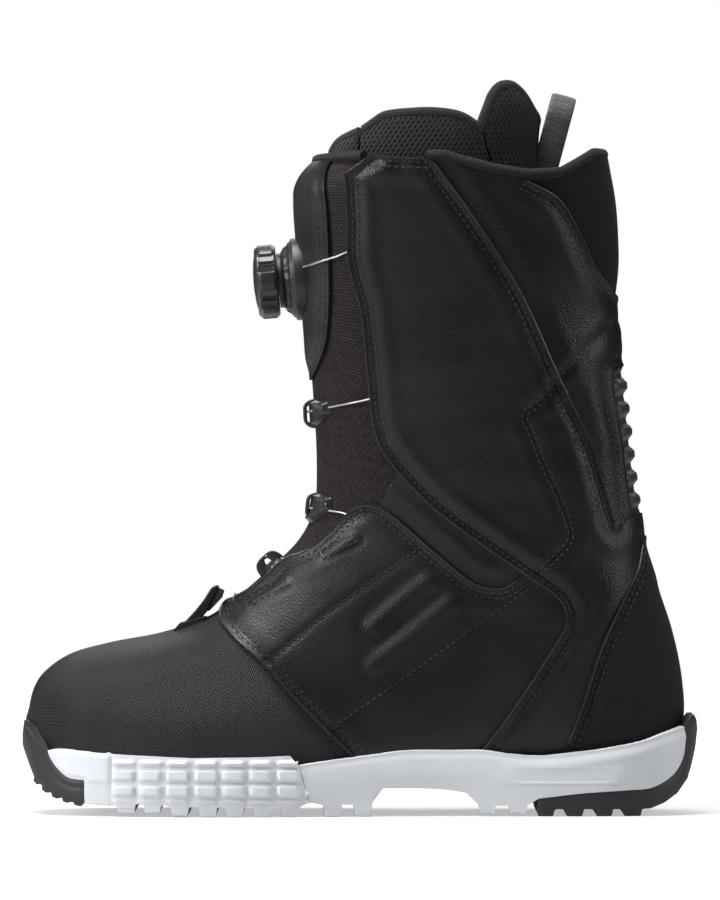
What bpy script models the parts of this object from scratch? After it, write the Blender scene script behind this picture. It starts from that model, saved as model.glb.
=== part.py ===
"""Snowboard boot for a left foot, with a lacing dial, as separate pieces.

Frame: toe towards -X, outer side of the foot towards -Y, +Z up, sole on Z = 0.
Outlines are drawn in the side view as (x, z) in millimetres; MM turns them into metres.
The upper is one smooth surface, lofted from sections that fan round the ankle.
Each panel is the part of a layer of that surface that lies inside its side-view outline.
"""
import math

import bmesh
import bpy
import numpy as np
from mathutils import Matrix, Vector

MM = 0.001
GAP = 0.3            # clearance between neighbouring pieces, mm
HALF_GAP = GAP / 2

# Layers, as depths in mm under the outer surface of the upper
SHELL = (0.0, 4.0)
TONGUE = (2.1, 4.5)
POWER_PANEL = (0.0, 1.8)
BOARD = (4.5, 6.4)
STIFFENER = (4.7, 5.9)
LINER = (7.6, 14.0)
FOOTBED = (14.6, 17.6)
LACE_TUNNEL = 5.45   # depth of the lace where it runs inside the upper
LACE_RADIUS = 0.55
LACE_CLEARANCE = 1.15
LACE_POINTS = 78

# Sections of the upper: front x, z; back x, z; half width; height of the widest
# point (-1 at the back, 1 at the front); squareness of the front and of the back half
SHELL_SECTIONS = [
    (-153.0, 47.5, -153.0, 39.0, 9.0, -0.10, 2.0, 2.2),
    (-150.5, 57.5, -149.5, 28.0, 22.0, -0.20, 2.0, 2.5),
    (-145.0, 65.5, -142.0, 20.5, 32.5, -0.30, 2.1, 2.9),
    (-133.0, 73.5, -129.0, 16.0, 42.5, -0.36, 2.1, 3.3),
    (-114.0, 78.8, -110.0, 14.5, 49.5, -0.40, 2.1, 3.6),
    (-91.0, 83.3, -87.0, 14.0, 53.0, -0.42, 2.1, 3.8),
    (-70.0, 91.0, -60.0, 14.0, 53.5, -0.45, 2.0, 3.8),
    (-54.0, 104.5, -30.0, 14.5, 51.0, -0.48, 1.95, 3.8),
    (-41.0, 116.0, 0.0, 15.5, 47.5, -0.50, 1.95, 3.8),
    (-30.5, 126.5, 32.0, 17.0, 45.0, -0.48, 1.95, 3.7),
    (-24.5, 137.0, 64.0, 19.0, 43.5, -0.44, 1.95, 3.5),
    (-22.3, 147.0, 95.0, 20.0, 42.5, -0.40, 1.95, 3.2),
    (-22.0, 156.0, 122.0, 21.0, 42.0, -0.36, 2.0, 2.9),
    (-22.2, 163.5, 140.0, 27.0, 41.5, -0.32, 2.0, 2.6),
    (-22.5, 170.0, 148.5, 42.0, 41.5, -0.28, 2.05, 2.4),
    (-22.8, 176.5, 148.2, 62.0, 41.8, -0.24, 2.05, 2.3),
    (-23.3, 184.0, 143.5, 85.0, 42.2, -0.20, 2.1, 2.2),
    (-23.8, 192.0, 136.0, 108.0, 42.8, -0.16, 2.1, 2.2),
    (-24.4, 200.0, 130.3, 133.0, 43.5, -0.12, 2.1, 2.2),
    (-25.2, 209.0, 127.0, 155.0, 44.3, -0.09, 2.1, 2.2),
    (-26.0, 219.0, 124.3, 179.0, 45.3, -0.06, 2.15, 2.2),
    (-27.0, 231.0, 121.5, 205.0, 46.6, -0.03, 2.15, 2.2),
    (-28.3, 245.0, 119.0, 231.0, 48.0, 0.0, 2.2, 2.2),
    (-29.7, 261.0, 119.0, 256.0, 49.6, 0.0, 2.2, 2.2),
    (-30.9, 278.0, 117.8, 279.0, 51.0, 0.0, 2.2, 2.2),
    (-30.6, 293.0, 115.0, 296.0, 52.0, 0.0, 2.2, 2.2),
    (-29.0, 306.0, 112.5, 309.0, 52.5, 0.0, 2.2, 2.2),
]
# The liner follows the shell up to the calf, then leans forward out of the collar
LINER_SECTIONS = SHELL_SECTIONS[:23] + [
    (-29.2, 259.0, 111.5, 252.0, 49.0, 0.0, 2.2, 2.2),
    (-29.4, 275.0, 101.0, 272.0, 49.0, 0.0, 2.2, 2.2),
    (-28.8, 291.0, 91.0, 291.0, 48.5, 0.0, 2.2, 2.2),
    (-27.2, 307.0, 89.5, 309.0, 48.0, 0.0, 2.2, 2.2),
    (-25.2, 323.0, 93.0, 327.0, 47.5, 0.0, 2.2, 2.2),
    (-23.0, 337.0, 88.0, 349.0, 46.5, 0.0, 2.2, 2.2),
]
SHELL_GRID = (27, 24)   # rows along the boot, points round each section
LINER_GRID = (20, 18)

# Seams of the upper in the side view
COLLAR_LINE = [
    (-45, 303.0), (-2, 303.0), (8, 302.7), (24.7, 301.7), (38.6, 301.2), (47.5, 298.5),
    (62.4, 295.0), (77.4, 292.6), (92.2, 294.0), (100.2, 298.5), (107, 303.0), (120, 304.0),
]
TOE_SEAM = [
    (-60.5, 112), (-60.5, 97), (-63.6, 88.5), (-45, 70), (-25, 48.7), (-3.3, 27.3), (3, 8),
]
SADDLE_TOP = [
    (-60.5, 97), (-48, 105.4), (-35, 117.3), (-27, 120.3), (-19, 125.2), (-9.2, 135.2),
    (-3.2, 140), (2.7, 142), (8.7, 141), (16.6, 136), (31.5, 123), (46.4, 110.4),
    (54.4, 105.4), (61.3, 104), (66.3, 104.4), (74.8, 110.6),
]
QUARTER_FRONT = [
    (0.5, 300.6), (-6.3, 293.5), (-5.3, 270), (-5.3, 258), (-3.4, 246), (0.5, 232),
    (2.4, 217), (4.8, 193), (6, 180), (9.5, 169), (16.5, 158.5),
]
QUARTER_LOW = [
    (16.5, 158.5), (27, 147), (36.4, 138.4), (52.8, 126), (74.8, 110.6), (88.8, 100.8),
    (93.7, 94), (94, 89), (92, 83), (72.4, 52.7), (55.7, 30.5), (45, 8),
]
DIAGONAL_SEAM = [
    (33.3, 299.2), (54.5, 270), (73.7, 238.6), (91, 200), (105.4, 170), (111.2, 151),
    (117, 132),
]
COLLAR_MESH_EDGE = [(76, 290.4), (91.7, 281), (101.8, 264), (110.5, 247), (130, 226)]
FLEX_EDGE = [
    (134, 207), (121.8, 206), (117, 203), (116, 198.4), (120.2, 171), (121.8, 155),
    (126.7, 136.3), (148, 140),
]
HEEL_SEAM = [
    (150, 128), (131.7, 128), (126.6, 112), (118.8, 96), (109.7, 75.6), (100.5, 48),
    (92.7, 29), (86, 8),
]
SADDLE_CORNER = 8    # point of SADDLE_TOP where the ankle underlay begins
UNDERLAY_END = 4     # point of QUARTER_LOW where it ends

# Liner
LINER_TOP = [
    (-40, 301.5), (-21, 301.5), (-18, 308.4), (0, 315.3), (7.8, 320), (22.7, 321.3),
    (34.6, 321.3), (47.5, 319), (58.5, 312.4), (62.4, 322.3), (65.4, 330.3), (72.4, 336.7),
    (77.4, 334.2), (83.3, 329.3), (88, 320), (105, 300),
]
LINER_FLAP_EDGE = [(-60, 150), (12, 165), (4, 200), (-2, 240), (-4, 300), (-4, 330)]
LINER_VAMP_EDGE = [(12, 165), (30, 120), (40, 60), (44, 5)]
LINER_COLLAR_EDGE = [(58.5, 340), (58.5, 312), (72, 286), (120, 276)]

# Sole in plan: x, half width, mm; and how far the toe swings to the inner side
SOLE_PLAN = [
    (-155.6, 4.0), (-153.5, 14), (-148, 27), (-137, 39), (-118, 50), (-92, 56), (-65, 57),
    (-38, 54.5), (-8, 49.5), (25, 45.5), (60, 44), (95, 44.5), (118, 43.5), (136, 37),
    (148, 25), (153.6, 13), (155.6, 4.0),
]
TOE_SWING = 7.0
TOE_SWING_START = -20.0
BOOT_FRONT = -155.6
SOLE_HEIGHT = 50.0

# Dial
DIAL_SEAT = Vector((-29.0, 0.0, 246.0))
DIAL_TILT = 5.0      # degrees that the dial's face looks down
FLANGE_RADIUS = 19.0
NECK_RADIUS = 12.6
KNOB_RADIUS = 17.6
KNOB_GROOVE_RADIUS = 16.2
KNOB_PADS = 12
KNOB_BOTTOM = 9.0
KNOB_TOP = 18.0

# Tongue hinge: a line across the boot where the tongue meets the toe cap
TONGUE_HINGE = Vector((-60.0, 0.0, 101.2))
PULL_LOOP_HINGE = Vector((89.0, 0.0, 295.5))
TOE_TAB_HINGE = Vector((-84.5, 0.0, 86.0))


# ---------------------------------------------------------------- surface of the upper

def spline(rows, positions):
    """Smooth curve through the rows, read at positions from 0 to 1."""
    rows = np.asarray(rows, dtype=float)
    last = len(rows) - 1
    padded = np.vstack([2 * rows[0] - rows[1], rows, 2 * rows[-1] - rows[-2]])
    along = np.clip(np.asarray(positions, dtype=float), 0, 1) * last
    cell = np.minimum(along.astype(int), last - 1)
    u = (along - cell)[..., None]
    a, b, c, d = (padded[cell + k] for k in range(4))
    return 0.5 * (2 * b + (c - a) * u + (2 * a - 5 * b + 4 * c - d) * u ** 2
                  + (3 * b - a - 3 * c + d) * u ** 3)


def toe_swing(x):
    """Shift of the boot's middle towards the inner side, growing to the toe."""
    reach = np.clip((TOE_SWING_START - x) / (TOE_SWING_START - BOOT_FRONT), 0, 1)
    return TOE_SWING * reach ** 1.5


def inward_normals(line, towards):
    """Unit normals of a side-view line, on the side of the points in towards."""
    tangent = np.gradient(line, axis=0)
    normal = np.stack([tangent[:, 1], -tangent[:, 0]], axis=1)
    normal /= np.linalg.norm(normal, axis=1, keepdims=True)
    side = np.sign(np.sum(normal * (towards - line), axis=1, keepdims=True))
    return normal * side


def surface(sections, depth, rows, around):
    """Points of the surface at a depth: one ring per row, angle 0 at the front,
    growing over the outer side (-Y) to the back."""
    fine = 8 * len(sections)
    table = spline(sections, np.linspace(0, 1, fine))
    front, back = table[:, 0:2], table[:, 2:4]
    middle = (front + back) / 2
    step = np.linalg.norm(np.gradient(middle, axis=0), axis=1)
    slope = np.gradient(table[:, 4]) / np.maximum(step, 1e-6)
    front = front + inward_normals(front, middle) * depth
    back = back + inward_normals(back, middle) * depth
    half_width = np.maximum(table[:, 4] - depth / np.sqrt(1 + slope ** 2), 1.0)
    where = np.asarray(rows, dtype=float) * (fine - 1)

    def read(values):
        return np.interp(where, np.arange(fine), values)[:, None]

    angle = np.asarray(around, dtype=float)[None, :]
    cos, sin = np.cos(angle), np.sin(angle)
    power = 2 / np.where(cos >= 0, read(table[:, 6]), read(table[:, 7]))
    lift = np.sign(cos) * np.abs(cos) ** power
    spread = np.sign(sin) * np.abs(sin) ** power
    widest = read(table[:, 5])
    t = widest + np.where(cos >= 0, 1 - widest, 1 + widest) * lift
    x = (read(front[:, 0]) * (1 + t) + read(back[:, 0]) * (1 - t)) / 2
    z = (read(front[:, 1]) * (1 + t) + read(back[:, 1]) * (1 - t)) / 2
    y = toe_swing(x) - read(half_width) * spread
    return np.stack([x, y, z], axis=-1)


def ring_angles(count):
    return np.linspace(0, 2 * math.pi, count, endpoint=False)


def on_upper(x, z, side, depth):
    """The point of the shell at a depth that shows at (x, z) on the side -1 or 1."""
    rows = np.linspace(0, 1, 500)
    around = np.linspace(0, math.pi, 181)
    grid = surface(SHELL_SECTIONS, depth, rows, around if side < 0 else -around)
    far = (grid[..., 0] - x) ** 2 + (grid[..., 2] - z) ** 2
    return grid.reshape(-1, 3)[np.argmin(far)]


def edge_ring(depth, line, angles):
    """Points at a depth where the upper meets a side-view line z(x) near its top."""
    rows = np.linspace(0.75, 1, 400)
    grid = surface(SHELL_SECTIONS, depth, rows, angles)
    xs, zs = zip(*line)
    miss = np.abs(grid[..., 2] - np.interp(grid[..., 0], xs, zs))
    best = np.argmin(miss, axis=0)
    return grid[best, np.arange(len(angles))]


# ---------------------------------------------------------------- building blocks

def material(name, colour, roughness, metallic=0.0):
    made = bpy.data.materials.new(name)
    made.use_nodes = True
    shader = made.node_tree.nodes["Principled BSDF"]
    shader.inputs["Base Color"].default_value = (*colour, 1)
    shader.inputs["Roughness"].default_value = roughness
    shader.inputs["Metallic"].default_value = metallic
    return made


def finish(obj, collection, finish_material=None, smooth=True):
    """Put an object in its collection with its material."""
    for old in list(obj.users_collection):
        old.objects.unlink(obj)
    collection.objects.link(obj)
    if finish_material is not None:
        obj.data.materials.clear()
        obj.data.materials.append(finish_material)
    if smooth and obj.type == "MESH":
        obj.data.shade_smooth()
        obj.data.set_sharp_from_angle(angle=math.radians(35))
    return obj


def mesh_object(name, bm):
    bmesh.ops.recalc_face_normals(bm, faces=bm.faces)
    mesh = bpy.data.meshes.new(name)
    bm.to_mesh(mesh)
    bm.free()
    obj = bpy.data.objects.new(name, mesh)
    bpy.context.scene.collection.objects.link(obj)
    return obj


def add_grid(bm, grid, close_start):
    """Quads between the rings of a grid, and a fan over its first ring."""
    rings = [[bm.verts.new(Vector(p) * MM) for p in ring] for ring in grid]
    for lower, upper in zip(rings, rings[1:]):
        bridge(bm, lower, upper)
    if close_start:
        tip = bm.verts.new(Vector(grid[0].mean(axis=0)) * MM)
        fan(bm, rings[0], tip)
    return rings


def bridge(bm, lower, upper):
    count = len(lower)
    for i in range(count):
        j = (i + 1) % count
        bm.faces.new((lower[i], lower[j], upper[j], upper[i]))


def fan(bm, ring, tip):
    for a, b in zip(ring, ring[1:] + ring[:1]):
        bm.faces.new((a, b, tip))


def layer(name, sections, depths, grid):
    """The wall between two depths: closed at the toe, open at the top."""
    rows = np.linspace(0, 1, grid[0])
    angles = ring_angles(grid[1])
    bm = bmesh.new()
    outer = add_grid(bm, surface(sections, depths[0], rows, angles), True)
    inner = add_grid(bm, surface(sections, depths[1], rows, angles), True)
    bridge(bm, outer[-1], inner[-1])
    return mesh_object(name, bm)


def core(name, sections, depth, grid):
    """Everything inside the surface at a depth, as one closed solid."""
    rows = np.linspace(0, 1, grid[0])
    bm = bmesh.new()
    rings = add_grid(bm, surface(sections, depth, rows, ring_angles(grid[1])), True)
    bm.faces.new(rings[-1])
    return mesh_object(name, bm)


def inset_outline(outline, amount):
    """A closed outline moved inwards by amount, corners mitred."""
    points = np.array(outline, dtype=float)
    before, after = np.roll(points, 1, axis=0), np.roll(points, -1, axis=0)
    area = np.sum(points[:, 0] * after[:, 1] - after[:, 0] * points[:, 1])
    turn = 1.0 if area > 0 else -1.0

    def left_normal(start, end):
        d = (end - start) / np.linalg.norm(end - start, axis=1, keepdims=True)
        return np.stack([-d[:, 1], d[:, 0]], axis=1) * turn

    first, second = left_normal(before, points), left_normal(points, after)
    mitre = first + second
    mitre /= np.maximum(np.sum(mitre * first, axis=1, keepdims=True), 0.3)
    return points + mitre * amount


def to_mesh(curve, name):
    """A curve object turned into a closed mesh object in the same place."""
    bpy.context.view_layer.update()
    evaluated = curve.evaluated_get(bpy.context.evaluated_depsgraph_get())
    mesh = bpy.data.meshes.new_from_object(evaluated)
    bm = bmesh.new()
    bm.from_mesh(mesh)
    bmesh.ops.remove_doubles(bm, verts=bm.verts, dist=0.00001)
    bmesh.ops.recalc_face_normals(bm, faces=bm.faces)
    bm.to_mesh(mesh)
    bm.free()
    place = curve.matrix_world.copy()
    bpy.data.objects.remove(curve)
    obj = bpy.data.objects.new(name, mesh)
    obj.matrix_world = place
    bpy.context.scene.collection.objects.link(obj)
    return obj


def flat_outline(name, outline, thickness):
    """An outline in the XY plane, filled and thick, centred on that plane. In mm."""
    data = bpy.data.curves.new(name, "CURVE")
    data.dimensions = "2D"
    data.fill_mode = "BOTH"
    data.extrude = thickness / 2 * MM
    line = data.splines.new("POLY")
    line.points.add(len(outline) - 1)
    for point, (u, v) in zip(line.points, outline):
        point.co = (u * MM, v * MM, 0, 1)
    line.use_cyclic_u = True
    curve = bpy.data.objects.new(name, data)
    bpy.context.scene.collection.objects.link(curve)
    return curve


def side_prism(name, outline, y_low, y_high):
    """A side-view outline (x, z) made solid from y_low to y_high."""
    curve = flat_outline(name, outline, y_high - y_low)
    curve.matrix_world = (Matrix.Translation((0, (y_low + y_high) / 2 * MM, 0))
                          @ Matrix.Rotation(math.pi / 2, 4, "X"))
    return to_mesh(curve, name)


def plan_prism(name, outline, z_low, z_high):
    curve = flat_outline(name, outline, z_high - z_low)
    curve.matrix_world = Matrix.Translation((0, 0, (z_low + z_high) / 2 * MM))
    return to_mesh(curve, name)


def boolean(obj, cutter, operation):
    step = obj.modifiers.new(operation.lower() + "_" + cutter.name, "BOOLEAN")
    step.operation = operation
    step.object = cutter
    step.solver = "EXACT"


def tube(name, points, radius, sides=2):
    """A round wire through points in mm."""
    data = bpy.data.curves.new(name, "CURVE")
    data.dimensions = "3D"
    data.bevel_depth = radius * MM
    data.bevel_resolution = sides
    data.use_fill_caps = True
    line = data.splines.new("POLY")
    line.points.add(len(points) - 1)
    for point, place in zip(line.points, points):
        point.co = (*(Vector(place) * MM), 1)
    obj = bpy.data.objects.new(name, data)
    bpy.context.scene.collection.objects.link(obj)
    return obj


def turned(name, profile, steps=24):
    """A closed profile (radius, height) in mm, turned round the local Z axis."""
    bm = bmesh.new()
    verts = [bm.verts.new((r * MM, 0, h * MM)) for r, h in profile]
    for a, b in zip(verts, verts[1:]):
        bm.edges.new((a, b))
    if profile[0][0] > 0:
        bm.edges.new((verts[-1], verts[0]))
    mesh = bpy.data.meshes.new(name)
    bm.to_mesh(mesh)
    bm.free()
    obj = bpy.data.objects.new(name, mesh)
    bpy.context.scene.collection.objects.link(obj)
    screw = obj.modifiers.new("turn", "SCREW")
    screw.steps = steps
    screw.render_steps = steps
    screw.use_merge_vertices = True
    screw.merge_threshold = 0.00001
    return obj


def empty(name, place, collection):
    made = bpy.data.objects.new(name, None)
    made.location = Vector(place) * MM
    collection.objects.link(made)
    bpy.context.view_layer.update()
    return made


def carry(parent, *objects):
    """Parent objects to a joint's empty, leaving them where they are."""
    bpy.context.view_layer.update()
    for obj in objects:
        world = obj.matrix_world.copy()
        obj.parent = parent
        obj.matrix_parent_inverse = parent.matrix_world.inverted()
        obj.matrix_world = world


# ---------------------------------------------------------------- the boot

class Boot:
    """Collections, materials and cutters that the pieces share."""

    def __init__(self):
        scene = bpy.context.scene.collection
        self.parts = bpy.data.collections.new("snowboard_boot")
        self.cutters = bpy.data.collections.new("cutters")
        scene.children.link(self.parts)
        scene.children.link(self.cutters)
        self.leather = material("black_leather", (0.012, 0.012, 0.013), 0.42)
        self.toe_leather = material("embossed_toe", (0.020, 0.020, 0.021), 0.50)
        self.fabric = material("tongue_fabric", (0.020, 0.016, 0.018), 0.90)
        self.mesh_cloth = material("spacer_mesh", (0.030, 0.025, 0.023), 0.95)
        self.foam = material("liner_foam", (0.045, 0.042, 0.042), 0.95)
        self.webbing = material("webbing", (0.040, 0.040, 0.041), 0.85)
        self.white = material("white_midsole", (0.80, 0.80, 0.83), 0.50)
        self.rubber = material("black_rubber", (0.018, 0.018, 0.018), 0.65)
        self.plastic = material("dark_plastic", (0.020, 0.020, 0.022), 0.40)
        self.board = material("fibre_board", (0.35, 0.28, 0.18), 0.90)
        self.gel = material("gel_pad", (0.15, 0.30, 0.40), 0.50)
        self.steel = material("steel", (0.55, 0.55, 0.56), 0.30, 1.0)

    def cutter(self, obj):
        finish(obj, self.cutters, smooth=False)
        obj.hide_render = True
        obj.display_type = "WIRE"
        return obj

    def part(self, obj, finish_material, smooth=True):
        return finish(obj, self.parts, finish_material, smooth)

    def panel(self, name, source, outline, sides, finish_material):
        """The part of a layer inside an outline: sides is 0 for both, -1 or 1."""
        reach = SOLE_HEIGHT * 2
        low = -reach if sides <= 0 else HALF_GAP
        high = reach if sides >= 0 else -HALF_GAP
        prism = side_prism(name + "_outline", inset_outline(outline, HALF_GAP), low, high)
        obj = bpy.data.objects.new(name, source.data.copy())
        bpy.context.scene.collection.objects.link(obj)
        boolean(obj, self.cutter(prism), "INTERSECT")
        return self.part(obj, finish_material)


def make_upper(boot, lace_room):
    """Shell panels, from the toe cap to the heel counter."""
    wall = boot.cutter(layer("shell_wall", SHELL_SECTIONS, SHELL, SHELL_GRID))
    toe = TOE_SEAM + [(-175, 8), (-175, 112)]
    boot.panel("toe_cap", wall, toe, 0, boot.toe_leather)
    saddle = (TOE_SEAM[1:] + QUARTER_LOW[:UNDERLAY_END - 1:-1]
              + SADDLE_TOP[-2:0:-1])
    underlay = SADDLE_TOP[SADDLE_CORNER:] + QUARTER_LOW[UNDERLAY_END - 1::-1]
    quarter = (QUARTER_FRONT + QUARTER_LOW[1:] + HEEL_SEAM[::-1] + [(150, 140)]
               + FLEX_EDGE[-2:-3:-1] + DIAGONAL_SEAM[::-1])
    rear = (DIAGONAL_SEAM + FLEX_EDGE[-2::-1] + COLLAR_MESH_EDGE[::-1]
            + [(62.4, 292.8), (47.5, 296.3), (38.6, 299.0)])
    for label, side in (("outer", -1), ("inner", 1)):
        made = [
            boot.panel("vamp_saddle_" + label, wall, saddle, side, boot.leather),
            boot.panel("ankle_underlay_" + label, wall, underlay, side, boot.leather),
            boot.panel("quarter_" + label, wall, quarter, side, boot.leather),
        ]
        for obj in made:
            boolean(obj, lace_room, "DIFFERENCE")
        boot.panel("rear_quarter_" + label, wall, rear, side, boot.leather)
    collar_mesh = (COLLAR_MESH_EDGE + [(130, 301.8), (108, 301.2), (100.2, 296.3),
                                       (92.2, 291.8)])
    boot.panel("rear_collar_mesh", wall, collar_mesh, 0, boot.mesh_cloth)
    boot.panel("flex_insert", wall, FLEX_EDGE, 0, boot.rubber)
    boot.panel("heel_counter", wall, HEEL_SEAM + [(165, 8), (165, 128)], 0, boot.leather)


def make_inner_supports(boot):
    """Lasting board, heel stiffener: between the shell and the liner."""
    board = boot.cutter(layer("board_layer", SHELL_SECTIONS, BOARD, SHELL_GRID))
    outline = [(-170, 0), (165, 0), (165, 27), (40, 24), (-90, 21), (-170, 24)]
    boot.panel("lasting_board", board, outline, 0, boot.board)
    cup = boot.cutter(layer("cup_layer", SHELL_SECTIONS, STIFFENER, SHELL_GRID))
    outline = [(72, 30), (165, 30), (165, 104), (122, 104), (104, 72)]
    boot.panel("heel_stiffener", cup, outline, 0, boot.plastic)


def make_binding(boot):
    """Rolled binding round the shell's collar."""
    start = 0.345 * math.pi
    angles = np.linspace(start, 2 * math.pi - start, 45)
    ring = edge_ring(2.0, COLLAR_LINE, angles)
    boot.part(to_mesh(tube("collar_binding", ring, 1.8), "collar_binding"), boot.fabric)


def make_tongue(boot, lace_room):
    """Shell tongue with the panel under the dial, its binding and the lace guides."""
    wall = boot.cutter(layer("tongue_layer", SHELL_SECTIONS, TONGUE, SHELL_GRID))
    outline = (SADDLE_TOP[:SADDLE_CORNER + 1] + QUARTER_FRONT[:0:-1]
               + [(-3.0, 302.0), (-60.5, 302.0)])
    tongue = boot.panel("shell_tongue", wall, outline, 0, boot.fabric)
    skin = boot.cutter(layer("panel_layer", SHELL_SECTIONS, POWER_PANEL, SHELL_GRID))
    outline = [(-60, 299.5), (-19, 299.5), (-16, 280), (-15, 225), (-17.5, 212),
               (-23.6, 200), (-60, 200)]
    plate = boot.panel("tongue_power_panel", skin, outline, 0, boot.leather)
    sweep = 0.26 * math.pi
    ring = edge_ring(2.2, [(-45, 304.2), (10, 304.2)], np.linspace(-sweep, sweep, 19))
    binding = tube("tongue_binding", ring, 1.8)
    binding = boot.part(to_mesh(binding, "tongue_binding"), boot.fabric)
    seat = boot.cutter(core("guide_seat", SHELL_SECTIONS, TONGUE[0] - 2 * GAP, SHELL_GRID))
    guides = [
        make_guide(boot, "lace_guide_upper", (-21.0, 184.0), 92, seat),
        make_guide(boot, "lace_guide_middle", (-20.0, 141.0), 84, seat),
        make_guide(boot, "lace_guide_lower", (-41.3, 114.4), 42, seat),
    ]
    for obj in [tongue] + guides:
        boolean(obj, lace_room, "DIFFERENCE")
    return [tongue, plate, binding] + guides


def make_guide(boot, name, middle, slope, seat):
    """A D-shaped saddle across the tongue: slope is its base line's angle in degrees."""
    half, height, sink, width = 6.6, 5.4, 3.0, 11.0
    arc = [(half * math.cos(a), height * math.sin(a) ** 0.8)
           for a in np.linspace(0, math.pi, 9)]
    outline = arc + [(-half, -sink), (half, -sink)]
    curve = flat_outline(name, outline, width)
    along = Matrix.Rotation(math.radians(-slope), 4, "Y") @ Matrix.Rotation(
        math.pi / 2, 4, "X")
    curve.matrix_world = Matrix.Translation(
        Vector((middle[0], 0, middle[1])) * MM) @ along
    guide = to_mesh(curve, name)
    boolean(guide, seat, "DIFFERENCE")
    return boot.part(guide, boot.plastic)


def lace_route():
    """The lace from the dial down both sides of the boot and through the guides."""
    def under(side, *places):
        return [on_upper(x, z, side, LACE_TUNNEL) for x, z in places]

    def over(side, *places):
        return [on_upper(x, z, side, TONGUE[0] - LACE_RADIUS - GAP) for x, z in places]

    def over_panel(side, *places):
        return [on_upper(x, z, side, -LACE_RADIUS - GAP) for x, z in places]

    def sink(side, x, z):
        return [on_upper(x, z, side, 3.2)]

    def guide(side, x, z):
        return [(x, -side * 5.0, z), (x - 0.2, 0, z), (x, side * 5.0, z)]

    from_spool = [(-31.5, -9.6, 249.3), (-29.6, -14.5, 250.2)]
    route = from_spool + over_panel(-1, (-25.2, 251.2), (-21, 252.4), (-16, 254.0))
    route += over(-1, (-11.5, 255.5), (-7.5, 257.2), (-3, 257.8))
    route += sink(-1, 2, 257) + under(-1, (7, 253), (10.5, 244), (12, 230), (14, 212))
    route += under(-1, (15, 199)) + sink(-1, 11.5, 193.5)
    route += over(-1, (7, 191.3), (2, 190), (-9, 187.5))
    route += guide(1, -24.2, 184.6)
    route += over(1, (-9, 187.5), (2, 190), (7, 191)) + sink(1, 11.5, 190)
    route += under(1, (16, 184), (19, 170), (19, 150), (12, 136)) + sink(1, 4, 134.5)
    route += over(1, (-1.5, 136.8), (-6.5, 138.8), (-13, 139.6)) + guide(-1, -23.6, 140.4)
    route += over(-1, (-13, 139.6), (-6.5, 138.8), (-1.5, 136.8)) + sink(-1, 4, 134.5)
    route += under(-1, (7, 127), (-6, 117), (-19, 111)) + sink(-1, -26, 111)
    route += over(-1, (-31.5, 114), (-36, 117.2)) + guide(1, -43.8, 117.6)
    route += over(1, (-36, 117.2), (-31.5, 114)) + sink(1, -26, 111)
    route += under(1, (-18, 108), (5, 118), (24, 138), (27, 165), (21, 200), (18, 230))
    route += under(1, (13, 248), (7, 255)) + sink(1, 2, 257.4)
    route += over(1, (-3, 257.8), (-7.5, 257.2), (-11.5, 255.5))
    route += over_panel(1, (-16, 254.0), (-21, 252.4), (-25.2, 251.2))
    route += [(x, -y, z) for x, y, z in from_spool[::-1]]
    return spline([tuple(point) for point in route], np.linspace(0, 1, LACE_POINTS))


def make_lace(boot):
    route = lace_route()
    lace = tube("lace_cable", route, LACE_RADIUS)
    room = tube("lace_room", route, LACE_CLEARANCE)
    room = boot.cutter(to_mesh(room, "lace_room"))
    return boot.part(to_mesh(lace, "lace_cable"), boot.steel), room


def make_liner(boot):
    """Padded inner boot: vamp, cuff, flap, rear collar, and the footbed in it."""
    wall = boot.cutter(layer("liner_layer", LINER_SECTIONS, LINER, LINER_GRID))
    flap = LINER_FLAP_EDGE + [(-60, 330)]
    vamp = LINER_VAMP_EDGE + [(-170, 5), (-170, 150), (-60, 150)]
    cuff = ([(165, 5), (165, 270)] + LINER_COLLAR_EDGE[:0:-1] + LINER_TOP[-9:2:-1]
            + LINER_FLAP_EDGE[-2:0:-1] + LINER_VAMP_EDGE[1:])
    collar = LINER_COLLAR_EDGE[1:] + [(120, 300)] + LINER_TOP[:-8:-1]
    boot.panel("liner_cuff", wall, cuff, 0, boot.mesh_cloth)
    boot.panel("liner_vamp", wall, vamp, 0, boot.mesh_cloth)
    boot.panel("liner_rear_collar", wall, collar, 0, boot.mesh_cloth)
    tongue = boot.panel("liner_tongue", wall, flap, 0, boot.mesh_cloth)
    top = [(-60, 299), (-21, 301.5), (-18, 308.4), (0, 315.3), (8, 319), (8, 345),
           (-60, 345)]
    trim = boot.cutter(side_prism("liner_tongue_trim", top, -100, 100))
    boolean(tongue, trim, "DIFFERENCE")
    bed = boot.cutter(layer("bed_layer", LINER_SECTIONS, FOOTBED, LINER_GRID))
    outline = [(-170, 0), (165, 0), (165, 46), (90, 40), (20, 36), (-90, 33), (-170, 36)]
    boot.panel("footbed", bed, outline, 0, boot.foam)
    return tongue


def strap_loop(name, width, height, strap, thickness, lean, place):
    """A strap bent into an upright loop across the boot, leaning back by lean degrees."""
    outer = []
    inner = []
    for a in np.linspace(0, math.pi, 11):
        outer.append((width / 2 * math.cos(a), height - width / 2 + width / 2 * math.sin(a)))
        r = width / 2 - thickness
        inner.append((r * math.cos(a), height - width / 2 + r * math.sin(a)))
    legs = [(-width / 2, 0), (-width / 2 + thickness, 0)]
    right = [(width / 2 - thickness, 0), (width / 2, 0)]
    outline = outer + legs + inner[::-1] + right
    curve = flat_outline(name, outline, strap)
    upright = Matrix.Rotation(math.pi / 2, 4, "Z") @ Matrix.Rotation(math.pi / 2, 4, "X")
    curve.matrix_world = (Matrix.Translation(Vector(place) * MM)
                          @ Matrix.Rotation(math.radians(lean), 4, "Y") @ upright)
    return to_mesh(curve, name)


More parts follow.
